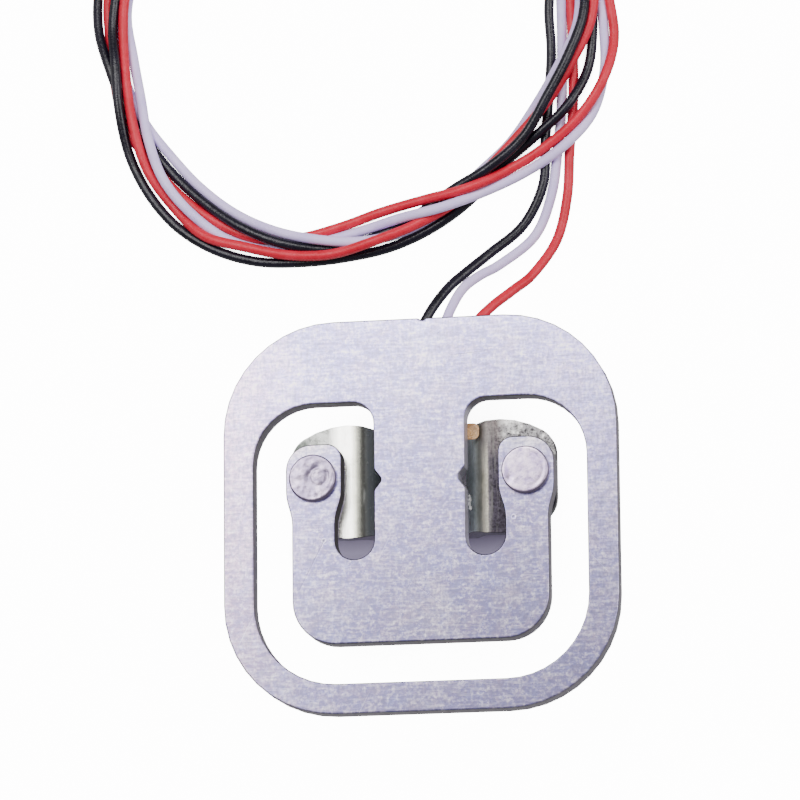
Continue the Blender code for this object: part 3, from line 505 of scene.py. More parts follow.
def plated_steel():
    """Zinc-plated stamping: pale lavender grey, warmer on the left, softly mottled along faint
    rolling lines, with dark sheared walls, and with painted light and shade on its face, walls and
    edges."""
    tree, shader, here, normal = finish_of("plated_steel")
    clouds = patches_at(tree, here, 210.0, 900.0, 0.35)["Height"]
    fine = patches_at(tree, here, 1500.0, 3600.0, 0.5)["Height"]
    hue = patches_at(tree, here, 480.0, 2100.0, 0.45)["Height"]
    grain = grain_at(tree, here, 700.0, 4600.0, 700.0)
    threads = grain_at(tree, here, 4200.0, 900.0, 900.0)
    turned = {"Turn": (0.0, 0.0, -1.1), "Threshold": 0.76}
    scratch = shared(tree, SCRATCHES, {"Place": here, **turned})["Scratch"]
    wall, streaks = shared(tree, SHEARED, {"Place": here, "Facing": normal})
    x, y, _ = axes(tree, here)
    off_middle = reckoned(tree, "ABSOLUTE", x)
    facing_x, facing_y, facing_z = axes(tree, normal)
    lines, rims, insides = face_marks(tree, here, stepped(tree, facing_z, 0.5, 0.9))

    # Broad tones: warmer on the left, painted shade towards the front and between the slots, and
    # deeper on the ears
    left = stepped(tree, x, -0.0095, -0.0165, 0.0, 0.75)
    face = colour_mix(tree, left, (0.6, 0.515, 0.96), (0.86, 0.54, 0.69))
    # Painted shade: the face darker towards the front
    light_slope = vector_math(tree, "DOT_PRODUCT", here, (-0.15, 0.85, 0.0))
    deep = colour_mix(tree, 1.0, face, (0.5, 0.5, 0.54), "MULTIPLY")
    face = colour_mix(tree, stepped(tree, light_slope, -0.014, 0.013), deep, face)
    # Painted shade over the middle of the plate, between the slots
    inner_shade = product(
        tree, stepped(tree, off_middle, 0.0135, 0.0085), stepped(tree, y, -0.0135, -0.012)
    )
    face = colour_mix(tree, inner_shade, face, (0.7, 0.7, 0.742), "MULTIPLY")
    ear = product(
        tree,
        stepped(tree, y, 0.0046, 0.006),
        stepped(tree, off_middle, 0.007, 0.0085),
        reckoned(tree, "LESS_THAN", y, 0.0072),
        reckoned(tree, "LESS_THAN", off_middle, 0.0122),
    )
    face = colour_mix(tree, ear, face, (0.76, 0.69, 0.72))

    # Mottling: where each texture starts and ends, its share and its colour
    for texture, start, end, share, tint in [
        (clouds, 0.48, 0.72, 0.36, (0.9, 0.83, 0.96)),
        (clouds, 0.52, 0.28, 0.4, (0.27, 0.255, 0.53)),
        (hue, 0.5, 0.72, 0.55, (0.76, 0.57, 0.64)),
        (hue, 0.5, 0.28, 0.55, (0.38, 0.42, 0.86)),
        (fine, 0.52, 0.32, 0.8, (0.2, 0.185, 0.33)),
        (fine, 0.5, 0.68, 0.8, (1.0, 0.93, 1.0)),
        (grain, 0.52, 0.36, 0.48, (0.25, 0.235, 0.4)),
        (threads, 0.5, 0.34, 0.58, (0.25, 0.235, 0.4)),
        (grain, 0.52, 0.68, 0.32, (0.96, 0.9, 1.0)),
    ]:
        face = colour_mix(tree, stepped(tree, texture, start, end, 0.0, share), face, tint)
    # Painted light and shade: the face lighter towards the back and the left, darker towards the
    # front
    painted_light = stepped(tree, light_slope, -0.008, 0.012, 0.88, 1.32)
    face = colour_mix(tree, 1.0, face, painted_light, "MULTIPLY")
    for mark, share, tint in [
        (scratch, 0.45, (0.9, 0.87, 1.0)),
        (lines, 0.45, (0.2, 0.19, 0.3)),
        (rims, 0.38, (0.95, 0.92, 1.0)),
        (insides, 0.4, (0.25, 0.24, 0.36)),
    ]:
        face = colour_mix(tree, product(tree, mark, share), face, tint)

    # Walls: dark sheared steel, with a painted highlight on the beam's walls, painted shade that
    # makes the left ear's wall nearly black, and painted shade as dark lines along the edges
    sheared = colour_mix(tree, streaks, (0.07, 0.06, 0.08), (0.2, 0.18, 0.215))
    # Painted highlight on the beam's walls that face right
    beam_wall_light = product(
        tree, stepped(tree, off_middle, 0.0046, 0.0041), stepped(tree, facing_x, 0.6, 0.9)
    )
    sheared = colour_mix(tree, beam_wall_light, sheared, (0.6, 0.58, 0.68))
    # Painted shade on the right-facing wall of the left ear, nearly black and less metallic
    ear_wall_shade = product(
        tree,
        stepped(tree, x, -0.01, -0.0092),
        stepped(tree, x, -0.006, -0.0064),
        stepped(tree, facing_x, 0.2, 0.6),
        wall,
    )
    sheared = colour_mix(tree, ear_wall_shade, sheared, (0.034, 0.028, 0.036))
    # Painted shade: a dark line along the rounded edges that face back and left
    turned_away = reckoned(tree, "SUBTRACT", facing_y, facing_x)
    edge = product(
        tree,
        stepped(tree, facing_z, 0.985, 0.93),
        stepped(tree, turned_away, 0.03, 0.12),
        stepped(tree, facing_z, 0.05, 0.3),
    )
    colour = colour_mix(tree, wall, face, sheared)
    colour = colour_mix(tree, edge, colour, (0.022, 0.019, 0.028))

    metal = reckoned(tree, "SUBTRACT", 0.74, product(tree, ear_wall_shade, 0.64))
    tree.links.new(metal, shader["Metallic"])
    rough = summed(tree, (fine, 0.1), (clouds, -0.08), (wall, 0.15), (ear_wall_shade, 0.45))
    height = summed(
        tree,
        (grain, 0.5),
        (fine, 0.5),
        (clouds, 0.8),
        (lines, -0.8),
        (rims, 0.6),
        (insides, -0.8),
        (streaks, 0.6),
    )
    dress(tree, shader, colour, reckoned(tree, "ADD", rough, 0.29), height, 0.000009)


def yellow_zinc():
    """Faintly yellow zinc of the bracket. Seen through the slots, the left flange is a lit copy,
    bright and cream with a painted highlight, the right one a shaded copy, dull, speckled and
    purple-grey with painted shade, and both bends dark green-grey with painted shade."""
    tree, shader, here, normal = finish_of("yellow_zinc")
    clouds = patches_at(tree, here, 520.0, 2200.0, 0.35)
    fine = patches_at(tree, here, 2300.0, 5200.0, 0.5)
    grain = grain_at(tree, here, 4200.0, 260.0, 260.0)
    wall, streaks = shared(tree, SHEARED, {"Place": here, "Facing": normal})
    x, y, _ = axes(tree, here)
    _, facing_y, facing_z = axes(tree, normal)
    upward = stepped(tree, facing_z, 0.1, 0.3)
    wander = stepped(tree, clouds["Height"], 0.2, 0.8, -0.00012, 0.00012)
    across = reckoned(tree, "ADD", reckoned(tree, "ABSOLUTE", x), wander)
    span = stepped(tree, across, 0.004, 0.008)

    # Left slot, from the beam outwards, as the lit copy with painted shade on its bend and a
    # painted highlight on its flat, and the arc above its ear
    bright = banded(
        tree,
        span,
        [
            (0.18, (0.18, 0.198, 0.215)),
            (0.24, (0.2, 0.212, 0.205)),
            (0.29, (0.115, 0.118, 0.108)),
            (0.36, (0.13, 0.13, 0.112)),
            (0.43, (0.25, 0.247, 0.206)),
            (0.5, (0.6, 0.59, 0.5)),
            (0.57, (1.000, 0.99, 0.93)),
        ],
    )
    left_arc = product(
        tree, stepped(tree, x, -0.0072, -0.0082), stepped(tree, y, 0.004, 0.0056)
    )
    cloudy = stepped(tree, clouds["Height"], 0.42, 0.57)
    pale = colour_mix(tree, cloudy, (0.055, 0.062, 0.055), (0.27, 0.272, 0.262))
    bright = colour_mix(tree, left_arc, bright, pale)

    # Right slot, from the beam outwards, as the shaded copy with a painted highlight streak on its
    # bend and painted shade on its flat, browner at its top, and the arc above its ear
    right_shade_and_finish = banded(
        tree,
        span,
        [
            (0.08, (0.56, 0.62, 0.64)),
            (0.14, (0.4, 0.425, 0.41)),
            (0.19, (0.23, 0.236, 0.218)),
            (0.25, (0.17, 0.17, 0.146)),
            (0.285, (0.3, 0.286, 0.226)),
            (0.385, (0.245, 0.232, 0.188)),
            (0.42, (0.052, 0.047, 0.053)),
            (0.54, (0.033, 0.029, 0.038)),
        ],
    )
    top = product(
        tree, stepped(tree, y, 0.0048, 0.0064, 0.0, 0.85), stepped(tree, span, 0.16, 0.26)
    )
    brown = colour_mix(tree, clouds["Patches"], (0.07, 0.06, 0.062), (0.14, 0.124, 0.112))
    right_shade_and_finish = colour_mix(tree, top, right_shade_and_finish, brown)
    specks = colour_mix(tree, fine["Patches"], (0.35, 0.33, 0.36), (1.5, 1.45, 1.5))
    speckled = colour_mix(tree, 1.0, right_shade_and_finish, specks, "MULTIPLY")
    right_shade_and_finish = colour_mix(tree, stepped(tree, span, 0.3, 0.45, 0.15, 1.0), right_shade_and_finish, speckled)
    right_arc = product(
        tree, stepped(tree, x, 0.0064, 0.0074), stepped(tree, y, 0.0044, 0.0058)
    )
    flecked = stepped(tree, fine["Height"], 0.42, 0.56)
    mottled = colour_mix(tree, flecked, (0.028, 0.025, 0.028), (0.27, 0.26, 0.265))
    worn = stepped(tree, clouds["Height"], 0.49, 0.6)
    bare = colour_mix(tree, worn, mottled, (0.68, 0.66, 0.64))
    right_shade_and_finish = colour_mix(tree, right_arc, right_shade_and_finish, bare)

    # Both, the plain cream of what faces down, and the dark sheared edges
    cream = colour_mix(tree, clouds["Patches"], (0.7, 0.69, 0.56), (0.86, 0.85, 0.76))
    dusty = stepped(tree, fine["Patches"], 0.4, 0.0, 0.0, 0.35)
    cream = colour_mix(tree, dusty, cream, (0.42, 0.42, 0.33))
    # Lit copy on the left, shaded copy on the right, of one and the same zinc
    seen = colour_mix(tree, stepped(tree, x, -0.0005, 0.0005), bright, right_shade_and_finish)
    base = colour_mix(tree, upward, cream, seen)
    lined = stepped(tree, grain, 0.48, 0.36, 0.0, 0.22)
    base = colour_mix(tree, lined, base, (0.2, 0.2, 0.18))
    edge = reckoned(
        tree,
        "MAXIMUM",
        stepped(tree, reckoned(tree, "ABSOLUTE", facing_y), 0.12, 0.35),
        product(tree, wall, stepped(tree, across, 0.0064, 0.007)),
    )
    sheared = colour_mix(tree, streaks, (0.02, 0.019, 0.024), (0.07, 0.066, 0.074))
    base = colour_mix(tree, edge, base, sheared)

    # The left flange is smoother and leans back, so that it mirrors the top softbox
    smooth_left = stepped(tree, x, 0.0005, -0.0005)
    lean = vector_math(
        tree, "SCALE", (0.0, 0.075, 0.0), scale=product(tree, upward, smooth_left)
    )
    leaned = vector_math(tree, "NORMALIZE", vector_math(tree, "ADD", normal, lean))
    bend = stepped(tree, span, 0.5, 0.25, 0.0, 0.5)
    tree.links.new(reckoned(tree, "SUBTRACT", 0.92, bend), shader["Metallic"])
    rough = summed(tree, (fine["Patches"], 0.08), (smooth_left, -0.12), (edge, 0.1))
    rough = reckoned(tree, "ADD", rough, 0.32)
    height = summed(tree, (grain, 0.4), (fine["Height"], 0.6), (streaks, 0.2))
    dress(tree, shader, base, rough, height, 0.000012, leaned)


def rivet_steel():
    """Bright plated steel of the rivets, faintly pink, with a bruised face darkened partly by
    painted shade in its dents, and a rim in painted shade, darkest on its back and left side.
    """
    tree, shader, here, normal = finish_of("rivet_steel", Metallic=0.9)
    clouds = patches_at(tree, here, 650.0, 2200.0, 0.35)
    fine = patches_at(tree, here, 2300.0, 6000.0, 0.5)
    x = axes(tree, here)[0]
    facing_x, facing_y, facing_z = axes(tree, normal)
    base = colour_mix(tree, clouds["Patches"], (0.36, 0.265, 0.52), (1.0, 0.82, 1.0))
    speckled = stepped(tree, fine["Height"], 0.5, 0.3, 0.0, 0.6)
    base = colour_mix(tree, speckled, base, (0.26, 0.225, 0.36))
    # A bruise on the left head, darkened further with painted shade in its dents
    from_bruise = vector_math(tree, "DISTANCE", here, metres((-8.7, 3.6, 8.07)))
    bruise_and_dent_shade = product(
        tree,
        stepped(tree, from_bruise, 0.0017, 0.001),
        stepped(tree, clouds["Height"], 0.6, 0.42, 0.4, 1.0),
    )
    base = colour_mix(tree, bruise_and_dent_shade, base, (0.075, 0.064, 0.125))
    struck = product(
        tree,
        stepped(tree, x, 0.0005, -0.0005),
        stepped(tree, clouds["Height"], 0.62, 0.4, 0.3, 0.85),
    )
    base = colour_mix(tree, struck, base, (0.3, 0.25, 0.37))
    # Painted shade on the rim, darkest on the side that faces back and left
    shaded_side = stepped(tree, reckoned(tree, "SUBTRACT", facing_y, facing_x), -0.15, 0.15)
    rim = colour_mix(tree, shaded_side, (0.3, 0.255, 0.33), (0.045, 0.038, 0.055))
    leaning = stepped(tree, reckoned(tree, "ABSOLUTE", facing_z), 0.93, 0.75)
    base = colour_mix(tree, leaning, base, rim)
    rough = stepped(tree, fine["Patches"], 0.0, 1.0, 0.28, 0.38)
    height = summed(tree, (clouds["Height"], 1.2), (fine["Height"], 0.4))
    dress(tree, shader, base, rough, height, 0.00002)


def nick_painted_shade(tree, here):
    """Painted shade at the foot of the beam's two locating nicks, 1 in it."""
    x, y, _ = axes(tree, here)
    off_middle = reckoned(tree, "ABSOLUTE", x)
    from_nick = reckoned(tree, "ABSOLUTE", reckoned(tree, "SUBTRACT", y, NICK_Y * MM))
    return product(
        tree,
        stepped(tree, off_middle, 0.0026, 0.003),
        stepped(tree, off_middle, 0.004, 0.0038),
        stepped(tree, from_nick, 0.0012, 0.0008),
    )


def polyimide():
    """Amber film, clear enough to darken over the foil, with faint rolling lines."""
    tree, shader, here, _ = finish_of("polyimide", Transmission_Weight=0.25, IOR=1.6)
    clouds = patches_at(tree, here, 1300.0, 4200.0, 0.3)["Patches"]
    base = colour_mix(tree, clouds, (0.42, 0.21, 0.08), (0.9, 0.52, 0.2))
    # Painted shade in the beam's nicks
    base = colour_mix(tree, nick_painted_shade(tree, here), base, (0.3, 0.28, 0.33))
    rough = stepped(tree, clouds, 0.0, 1.0, 0.16, 0.34)
    dress(tree, shader, base, rough, grain_at(tree, here, 300.0, 7000.0, 300.0), 0.000006)


def constantan():
    """Etched copper-nickel foil: pale coppery grey, slightly uneven from the etch."""
    tree, shader, here, _ = finish_of("constantan", Metallic=1.0)
    clouds = patches_at(tree, here, 1300.0, 5200.0, 0.5)["Patches"]
    base = colour_mix(tree, clouds, (0.42, 0.31, 0.23), (0.64, 0.5, 0.39))
    rough = stepped(tree, clouds, 0.0, 1.0, 0.24, 0.46)
    dress(tree, shader, base, rough, grain_at(tree, here, 300.0, 8000.0, 300.0), 0.000004)


def tinned_copper():
    """Solder and tinned strands: bright, softly rippled, grey where the flux stayed."""
    tree, shader, here, _ = finish_of("tinned_copper", Metallic=1.0)
    clouds = patches_at(tree, here, 1600.0, 6000.0, 0.4)["Patches"]
    base = colour_mix(tree, clouds, (0.48, 0.47, 0.46), (0.8, 0.79, 0.77))
    dress(tree, shader, base, stepped(tree, clouds, 0.0, 1.0, 0.38, 0.16), clouds, 0.00002)


def silicone():
    """Milky room-temperature silicone, soft gloss, with small bubbles under its skin."""
    tree, shader, here, _ = finish_of("silicone", Transmission_Weight=0.45, IOR=1.41)
    clouds = patches_at(tree, here, 600.0, 2600.0, 0.35)["Patches"]
    cells = put(tree, "ShaderNodeTexVoronoi", {"Vector": here, "Scale": 1500.0}, feature="F1")
    bubble = stepped(tree, cells.outputs["Distance"], 0.16, 0.24, 1.0, 0.0)
    base = colour_mix(tree, clouds, (0.78, 0.79, 0.8), (0.92, 0.92, 0.91))
    base = colour_mix(tree, bubble, base, (0.97, 0.97, 0.97))
    # Painted shade in the beam's nicks
    base = colour_mix(tree, nick_painted_shade(tree, here), base, (0.3, 0.29, 0.34))
    rough = stepped(tree, clouds, 0.0, 1.0, 0.2, 0.42)
    dress(tree, shader, base, rough, summed(tree, (clouds, 1.0), (bubble, 0.4)), 0.00005)


def insulation(colour, dark, light, roughness, gloss):
    """Extruded insulation: even colour with faint scuffs, dust and the ripple of its strands."""
    name = f"insulation_{colour}"
    tree, shader, here, _ = finish_of(name, IOR=1.47, Specular_IOR_Level=gloss)
    clouds = patches_at(tree, here, 420.0, 3800.0, 0.3)["Patches"]
    fine = patches_at(tree, here, 2600.0, 9000.0, 0.5)["Patches"]
    base = colour_mix(tree, clouds, dark, light)
    rough = stepped(tree, fine, 0.0, 1.0, roughness, roughness + 0.16)
    dress(tree, shader, base, rough, summed(tree, (clouds, 1.0), (fine, 0.25)), 0.000018)


plated_steel()
yellow_zinc()
rivet_steel()
polyimide()
constantan()
tinned_copper()
silicone()
insulation("black", (0.004, 0.003, 0.008), (0.01, 0.008, 0.018), 0.2, 0.4)
insulation("white", (0.66, 0.54, 0.94), (0.78, 0.65, 1.0), 0.34, 0.3)
insulation("red", (0.54, 0.008, 0.026), (0.68, 0.022, 0.052), 0.3, 0.3)


# --- Leads ---


def smooth_route(points, spacing):
    """Points about a spacing apart on a Catmull-Rom curve through the route's own points."""
    places = [metres((*point, RESTING_HEIGHT)[:3]) for point in points]
    padded = [places[0] * 2 - places[1], *places, places[-1] * 2 - places[-2]]
    result = []
    for index in range(len(places) - 1):
        before, start, end, after = padded[index : index + 4]
        steps = max(1, round((end - start).length / (spacing * MM)))
        for step in range(steps):
            t = step / steps
            result.append(
                0.5
                * (
                    2 * start
                    + (end - before) * t
                    + (2 * before - 5 * start + 4 * end - after) * t**2
                    + (3 * start - before - 3 * end + after) * t**3
                )
            )
    result.append(places[-1])
    return result


def lead_sleeve(colour, points):
    """The insulated lead as one curve from its solder joint to its stripped end."""
    curve = bpy.data.curves.new(f"{colour}_lead", "CURVE")
    curve.dimensions = "3D"
    curve.bevel_depth = LEAD_DIAMETER / 2 * MM
    curve.bevel_resolution = LEAD_SIDES - 2
    curve.use_fill_caps = True
    spline = curve.splines.new("POLY")
    spline.points.add(len(points) - 1)
    for point, place in zip(spline.points, points):
        point.co = (*place, 1.0)
    spline.use_smooth = True
    curve.materials.append(FINISHES[f"insulation_{colour}"])
    sleeve = placed(f"{colour}_lead", curve)
    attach(sleeve, "root")
    return sleeve


def twisted_strands(name, start, ahead, diameter, length, twist, end_shares=()):
    """Seven strands twisted together and tinned, as one lobed rod with its turns."""
    steps = max(8, round(length / (diameter * 0.22)))
    form = bmesh.new()
    ring = bmesh.ops.create_circle(form, segments=RING_SIDES, radius=diameter / 2 * MM)["verts"]
    for vert in ring:
        angle = math.atan2(vert.co.y, vert.co.x)
        vert.co *= 1 - GROOVE + GROOVE * abs(math.cos(angle * LOBES / 2))
    bmesh.ops.contextual_create(form, geom=form.edges[:])
    edges = form.edges[:]
    for step in range(steps):
        extruded = bmesh.ops.extrude_edge_only(form, edges=edges)["geom"]
        verts = [item for item in extruded if isinstance(item, bmesh.types.BMVert)]
        edges = [item for item in extruded if isinstance(item, bmesh.types.BMEdge)]
        middle = sum((vert.co for vert in verts), Vector()) / len(verts)
        turn = Matrix.Rotation(twist / steps, 3, "Z")
        bmesh.ops.translate(form, vec=(0.0, 0.0, length / steps * MM), verts=verts)
        bmesh.ops.rotate(form, cent=middle, matrix=turn, verts=verts)
        to_end = steps - 1 - step
        if to_end < len(end_shares):
            share = end_shares[to_end]
            around = Matrix.Translation(-middle)
            bmesh.ops.scale(form, vec=(share, share, 1.0), space=around, verts=verts)
    bmesh.ops.contextual_create(form, geom=edges)
    bmesh.ops.recalc_face_normals(form, faces=form.faces)
    turn = Vector((0.0, 0.0, 1.0)).rotation_difference(ahead).to_matrix()
    bmesh.ops.rotate(form, cent=(0, 0, 0), matrix=turn, verts=form.verts)
    bmesh.ops.translate(form, vec=start, verts=form.verts)
    return piece_of(name, form, "tinned_copper", 80.0)


def spun(profile, steps):
    """A round solid from its half section, given as (radius, height) pairs in metres."""
    form = bmesh.new()
    corners = [form.verts.new((radius, 0.0, height)) for radius, height in profile]
    edges = [form.edges.new(pair) for pair in zip(corners, corners[1:])]
    bmesh.ops.spin(
        form,
        geom=[*corners, *edges],
        cent=(0, 0, 0),
        axis=(0, 0, 1),
        angle=math.tau,
        steps=steps,
        use_merge=True,
    )
    bmesh.ops.remove_doubles(form, verts=form.verts, dist=1e-6)
    return form


def solder_mound(colour):
    """Solder over the terminal: flared at the foil and domed below."""
    low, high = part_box(f"solder_{colour}")
    middle = (low + high) / 2
    width, depth = (high.x - low.x) / 2, high.z - low.z
    form = spun([(radius * width, -drop * depth) for radius, drop in SOLDER_PROFILE], 28)
    for vert in form.verts:
        vert.co.xy *= 1 + 0.06 * noise.noise(vert.co * 2600 + middle * 900)
    bmesh.ops.translate(form, vec=(middle.x, middle.y, high.z), verts=form.verts)
    bmesh.ops.recalc_face_normals(form, faces=form.faces)
    mound = piece_of(f"{colour}_solder_joint", form, "tinned_copper", 60.0)
    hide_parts(f"solder_{colour}")


def make_lead(colour, more_nodes=()):
    points = smooth_route(LEAD_ROUTES[colour], LEAD_SPACING)
    sleeve = lead_sleeve(colour, points)
    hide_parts(f"lead_{colour}", f"tail_{colour}", *more_nodes)

    ahead = (points[-1] - points[-2]).normalized()
    tip = twisted_strands(
        f"{colour}_tinned_end",
        points[-1] - ahead * TUCKED_IN * MM,
        ahead,
        TIP_DIAMETER,
        TIP_LENGTH + TUCKED_IN,
        9.0,
        END_SHARES,
    )
    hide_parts(f"tip_{colour}")

    first = points[0]
    low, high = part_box(f"solder_{colour}")
    joint = (low + high) / 2
    joint.z = first.z
    core = twisted_strands(
        f"{colour}_core",
        joint,
        (first - joint).normalized(),
        CORE_DIAMETER,
        (first - joint).length / MM + TUCKED_IN,
        5.0,
    )
    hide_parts(f"core_{colour}")
    solder_mound(colour)


# --- Metal parts ---


def smoothed_copy(node, name, finish):
    """A node's own shape with its seams merged, so that its rounded edges shade as one."""
    form = bmesh.new()
    form.from_mesh(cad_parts[node].data)
    bmesh.ops.remove_doubles(form, verts=form.verts, dist=1e-6)
    bmesh.ops.dissolve_limit(
        form,
        angle_limit=math.radians(0.5),
        verts=form.verts,
        edges=form.edges,
        delimit={"NORMAL"},
    )
    made = piece_of(name, form, finish, 50.0)
    level = made.modifiers.new("level_faces", "WEIGHTED_NORMAL")
    level.weight = 100
    level.keep_sharp = True
    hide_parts(node)
    return made


def open_rounding(form, face_z, way):
    """Widens the fine rounding between one flat face and its walls, but not at the rivet holes.
    Each foot of it on a wall has a middle and a crest on the face beside it."""

    def depth(vert):
        return (face_z - vert.co.z) * way / MM

    shallowest, deepest = FOOT_DEPTHS
    rivet_x, rivet_y = RIVET_PLACE
    feet = []
    for vert in form.verts:
        from_hole = math.hypot(abs(vert.co.x) / MM - rivet_x, vert.co.y / MM - rivet_y)
        if shallowest < depth(vert) < deepest and from_hole > HOLE_MARGIN:
            walls = [face.normal.xy for face in vert.link_faces if abs(face.normal.z) < 0.2]
            feet.append((vert, vert.co.xy.copy(), sum(walls, Vector((0.0, 0.0))).normalized()))
    moves = []
    for vert in form.verts:
        if -0.001 < depth(vert) < 0.009:
            _, place, outward = min(
                feet, key=lambda entry: (entry[1] - vert.co.xy).length_squared
            )
            if (place - vert.co.xy).length < CREST_REACH * MM:
                is_crest = depth(vert) < 0.001
                inwards = 1.0 if is_crest else 1 - math.sqrt(0.5)
                drop = 0.0 if is_crest else inwards
                moves.append((vert, place - outward * inwards * EDGE_ROUNDING * MM, drop))
    for vert, place, drop in moves:
        vert.co.xy = place
        vert.co.z = face_z - way * drop * EDGE_ROUNDING * MM
    for vert, _, _ in feet:
        vert.co.z = face_z - way * EDGE_ROUNDING * MM


def dented_plate():
    """The stamping, with the small dent that its upper edge took beside the leads."""
    made = smoothed_copy("sensor_plate", "stamped_plate", "plated_steel")
    form = bmesh.new()
    form.from_mesh(made.data)
    heights = [vert.co.z for vert in form.verts]
    open_rounding(form, max(heights), 1)
    open_rounding(form, min(heights), -1)
    edge_y = max(vert.co.y for vert in form.verts)
    strip_y = edge_y - EDGE_STRIP * MM
    bmesh.ops.bisect_plane(
        form,
        geom=[*form.verts, *form.edges, *form.faces],
        plane_co=(0.0, strip_y, 0.0),
        plane_no=(0.0, 1.0, 0.0),
    )
    for step in range(-DENT_CUTS, DENT_CUTS + 1):
        strip = [face for face in form.faces if face.calc_center_median().y > strip_y]
        bmesh.ops.bisect_plane(
            form,
            geom=[*strip, *{edge for face in strip for edge in face.edges}],
            plane_co=metres((DENT_X + step * DENT_HALF_WIDTH / DENT_CUTS, 0.0, 0.0)),
            plane_no=(1.0, 0.0, 0.0),
        )
    for vert in form.verts:
        across = abs(vert.co.x / MM - DENT_X) / DENT_HALF_WIDTH
        at_edge = edge_y - vert.co.y < EDGE_BAND * MM and vert.co.z > DENT_ABOVE * MM
        if across < 1 and at_edge:
            vert.co.y -= DENT_DEPTH * MM * (1 - across**2) ** 2
    form.to_mesh(made.data)
    form.free()


def hollow(distance, width):
    return math.exp(-((distance / width) ** 2))


def struck_face(side, x, y):
    """Height of the head's face in millimetres at a place on it, from the blows that closed it."""
    radius = math.hypot(x, y)
    height = FACE_CROWN * (1 - (radius / 1.8) ** 2)
    if side < 0:
        broken = 0.6 + 0.5 * noise.noise(Vector((x * 1.3, y * 1.3, 4.0)))
        height -= 0.075 * broken * hollow(math.hypot(x - 0.55, y - 0.05) - 0.8, 0.17)
        height -= 0.06 * hollow(x + 0.35, 0.25) * hollow(y + 0.15, 0.35)
        height += 0.04 * noise.noise(Vector((x * 2.1, y * 2.1, 1.0)))
        height += 0.015 * noise.noise(Vector((x * 5.0, y * 5.0, 3.0)))
    else:
        height -= 0.06 * hollow(x + 1.35, 0.22) * hollow(y + 0.8, 0.3)
        height -= 0.016 * hollow(radius - 1.55, 0.1) * min(1.0, max(0.0, x))
        height += 0.008 * noise.noise(Vector((x * 1.5, y * 1.5, 7.0)))
    return height


def closed_rivet(name, side):
    """Rivet with its flat head, rounded rim, undercut, shank and the tail below the bracket."""
    low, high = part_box(f"rivet_{name}")
    middle = (low + high) / 2
    top, bottom = high.z / MM, low.z / MM
    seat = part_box("sensor_plate")[1].z / MM + SEAT_GAP
    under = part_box("load_bracket")[1].z / MM - SHEET - SEAT_GAP
    head = [(0.1 * step, top) for step in range(19)]
    rim = [
        (1.88, top - 0.01),
        (1.95, top - 0.04),
        (2.00, top - 0.1),
        (2.03, top - 0.2),
        (2.045, seat + 0.16),
        (2.02, seat + 0.05),
        (1.93, seat),
    ]
    tail = [
        (SHANK_RADIUS, seat),
        (SHANK_RADIUS, under),
        (1.9, under),
        (2.00, under - 0.06),
        (2.04, under - 0.2),
        (1.96, under - 0.36),
        (1.78, bottom + 0.08),
        (1.5, bottom + 0.02),
        (1.00, bottom),
        (0.45, bottom + 0.05),
        (0.0, bottom + 0.08),
    ]
    form = spun([(radius * MM, height * MM) for radius, height in [*head, *rim, *tail]], 64)
    for vert in form.verts:
        if high.z - vert.co.z < 0.005 * MM:
            raised = struck_face(side, vert.co.x / MM, vert.co.y / MM) - FACE_CROWN
            vert.co.z += raised * MM
    bmesh.ops.translate(form, vec=(middle.x, middle.y, 0.0), verts=form.verts)
    bmesh.ops.recalc_face_normals(form, faces=form.faces)
    made = piece_of(f"{name}_rivet", form, "rivet_steel", 60.0)
    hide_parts(f"rivet_{name}")


def silicone_beads():
    """Beads of silicone that came up between gauge and beam on the right side."""
    form = bmesh.new()
    for middle, size in SILICONE_BEADS:
        bead = bmesh.ops.create_icosphere(form, subdivisions=3, radius=size * MM)["verts"]
        for vert in bead:
            vert.co.x *= 0.85
            vert.co.y *= 1.25
            vert.co *= 1 + 0.18 * noise.noise(vert.co * 4200 + Vector(middle))
        bmesh.ops.translate(form, vec=metres(middle), verts=bead)
    beads = piece_of("silicone_beads", form, "silicone", 180.0)


def assign(node, finish):
    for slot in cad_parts[node].material_slots:
        slot.material = FINISHES[finish]


# --- Camera, light and floor ---


def make_camera():
    data = bpy.data.cameras.new("photo_camera")
    data.sensor_width = 36.0
    data.lens = CAMERA_LENS
    data.clip_start, data.clip_end = 0.01, 10.0
    camera = placed("photo_camera", data)
    camera.location = metres(CAMERA_PLACE)
    camera.rotation_euler = tuple(math.radians(angle) for angle in CAMERA_TURN)
    bpy.context.scene.camera = camera


def softbox(name, place, size, power):
    data = bpy.data.lights.new(name, "AREA")
    data.shape = "RECTANGLE"
    data.size, data.size_y = size
    data.energy = power
    lamp = placed(name, data)
    lamp.location = place
    lamp.rotation_euler = (Vector(place) - Vector(LIT_PLACE)).to_track_quat("Z", "Y").to_euler()


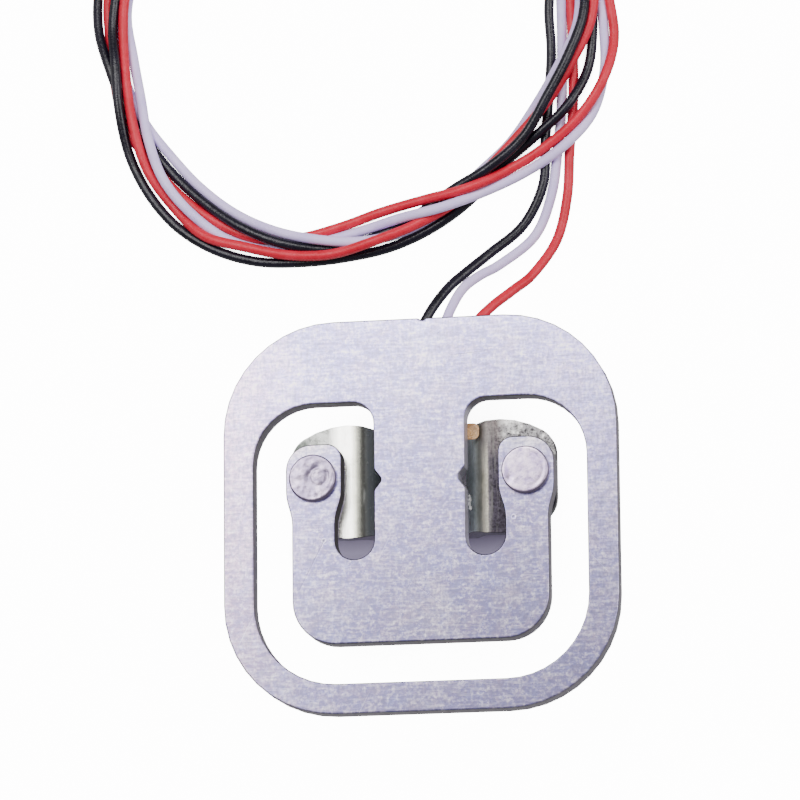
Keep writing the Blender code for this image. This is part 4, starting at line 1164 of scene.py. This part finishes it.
def lit_paper():
    """White paper that glows near white for the camera, dark with painted shadow only where it is
    closely covered and under the two slots of the cell."""
    tree, shader, here, _ = finish_of("lit_paper", Roughness=0.9, Specular_IOR_Level=0.1)
    cover = put(tree, "ShaderNodeAmbientOcclusion", {"Distance": 0.02}, samples=8)
    for_camera = put(tree, "ShaderNodeLightPath").outputs["Is Camera Ray"]
    x, y, _ = axes(tree, here)
    clear = 1.0
    # Painted shadow on the floor under the two slots
    for spot in SHADED_SPOTS:
        away = vector_math(tree, "DISTANCE", here, metres((*spot, 0.0)))
        clear = reckoned(tree, "MULTIPLY", stepped(tree, away, 0.0026, 0.006), clear)
    fall = reckoned(tree, "ADD", y, stepped(tree, x, -0.001, 0.001, -0.0007, 0.0))
    under_slot = stepped(tree, fall, -0.0006, -0.0026, 0.05, 0.36)
    open_floor = stepped(tree, cover.outputs["AO"], 0.02, 0.16, 0.12, 14.0)
    bright = value_mix(tree, clear, under_slot, open_floor)
    paper = colour_mix(tree, clear, (0.16, 0.14, 0.21), (0.3, 0.3, 0.31))
    glow = colour_mix(tree, clear, (0.78, 0.7, 1.0), (1.0, 1.0, 0.995))
    tree.links.new(paper, shader["Base Color"])
    tree.links.new(glow, shader["Emission Color"])
    tree.links.new(value_mix(tree, for_camera, 0.5, bright), shader["Emission Strength"])


def make_room():
    world = bpy.data.worlds.new("light_tent")
    world.use_nodes = True
    sky = world.node_tree.nodes["Background"].inputs
    sky["Color"].default_value = (1.0, 1.0, 1.0, 1.0)
    sky["Strength"].default_value = WORLD_STRENGTH
    bpy.context.scene.world = world
    for name, (place, size, power) in SOFTBOXES.items():
        softbox(name, place, size, power)
    form = bmesh.new()
    bmesh.ops.create_grid(form, x_segments=2, y_segments=2, size=3.0)
    mesh = bpy.data.meshes.new("floor")
    form.to_mesh(mesh)
    form.free()
    lit_paper()
    mesh.materials.append(FINISHES["lit_paper"])
    floor = placed("floor", mesh)


make_camera()
make_room()
make_lead("black", ["lead_coil"])
make_lead("white")
make_lead("red")
dented_plate()
smoothed_copy("load_bracket", "pressed_bracket", "yellow_zinc")
closed_rivet("left", -1)
closed_rivet("right", 1)
silicone_beads()
assign("gauge_film", "polyimide")
assign("gauge_foil", "constantan")
assign("gauge_sealant", "silicone")
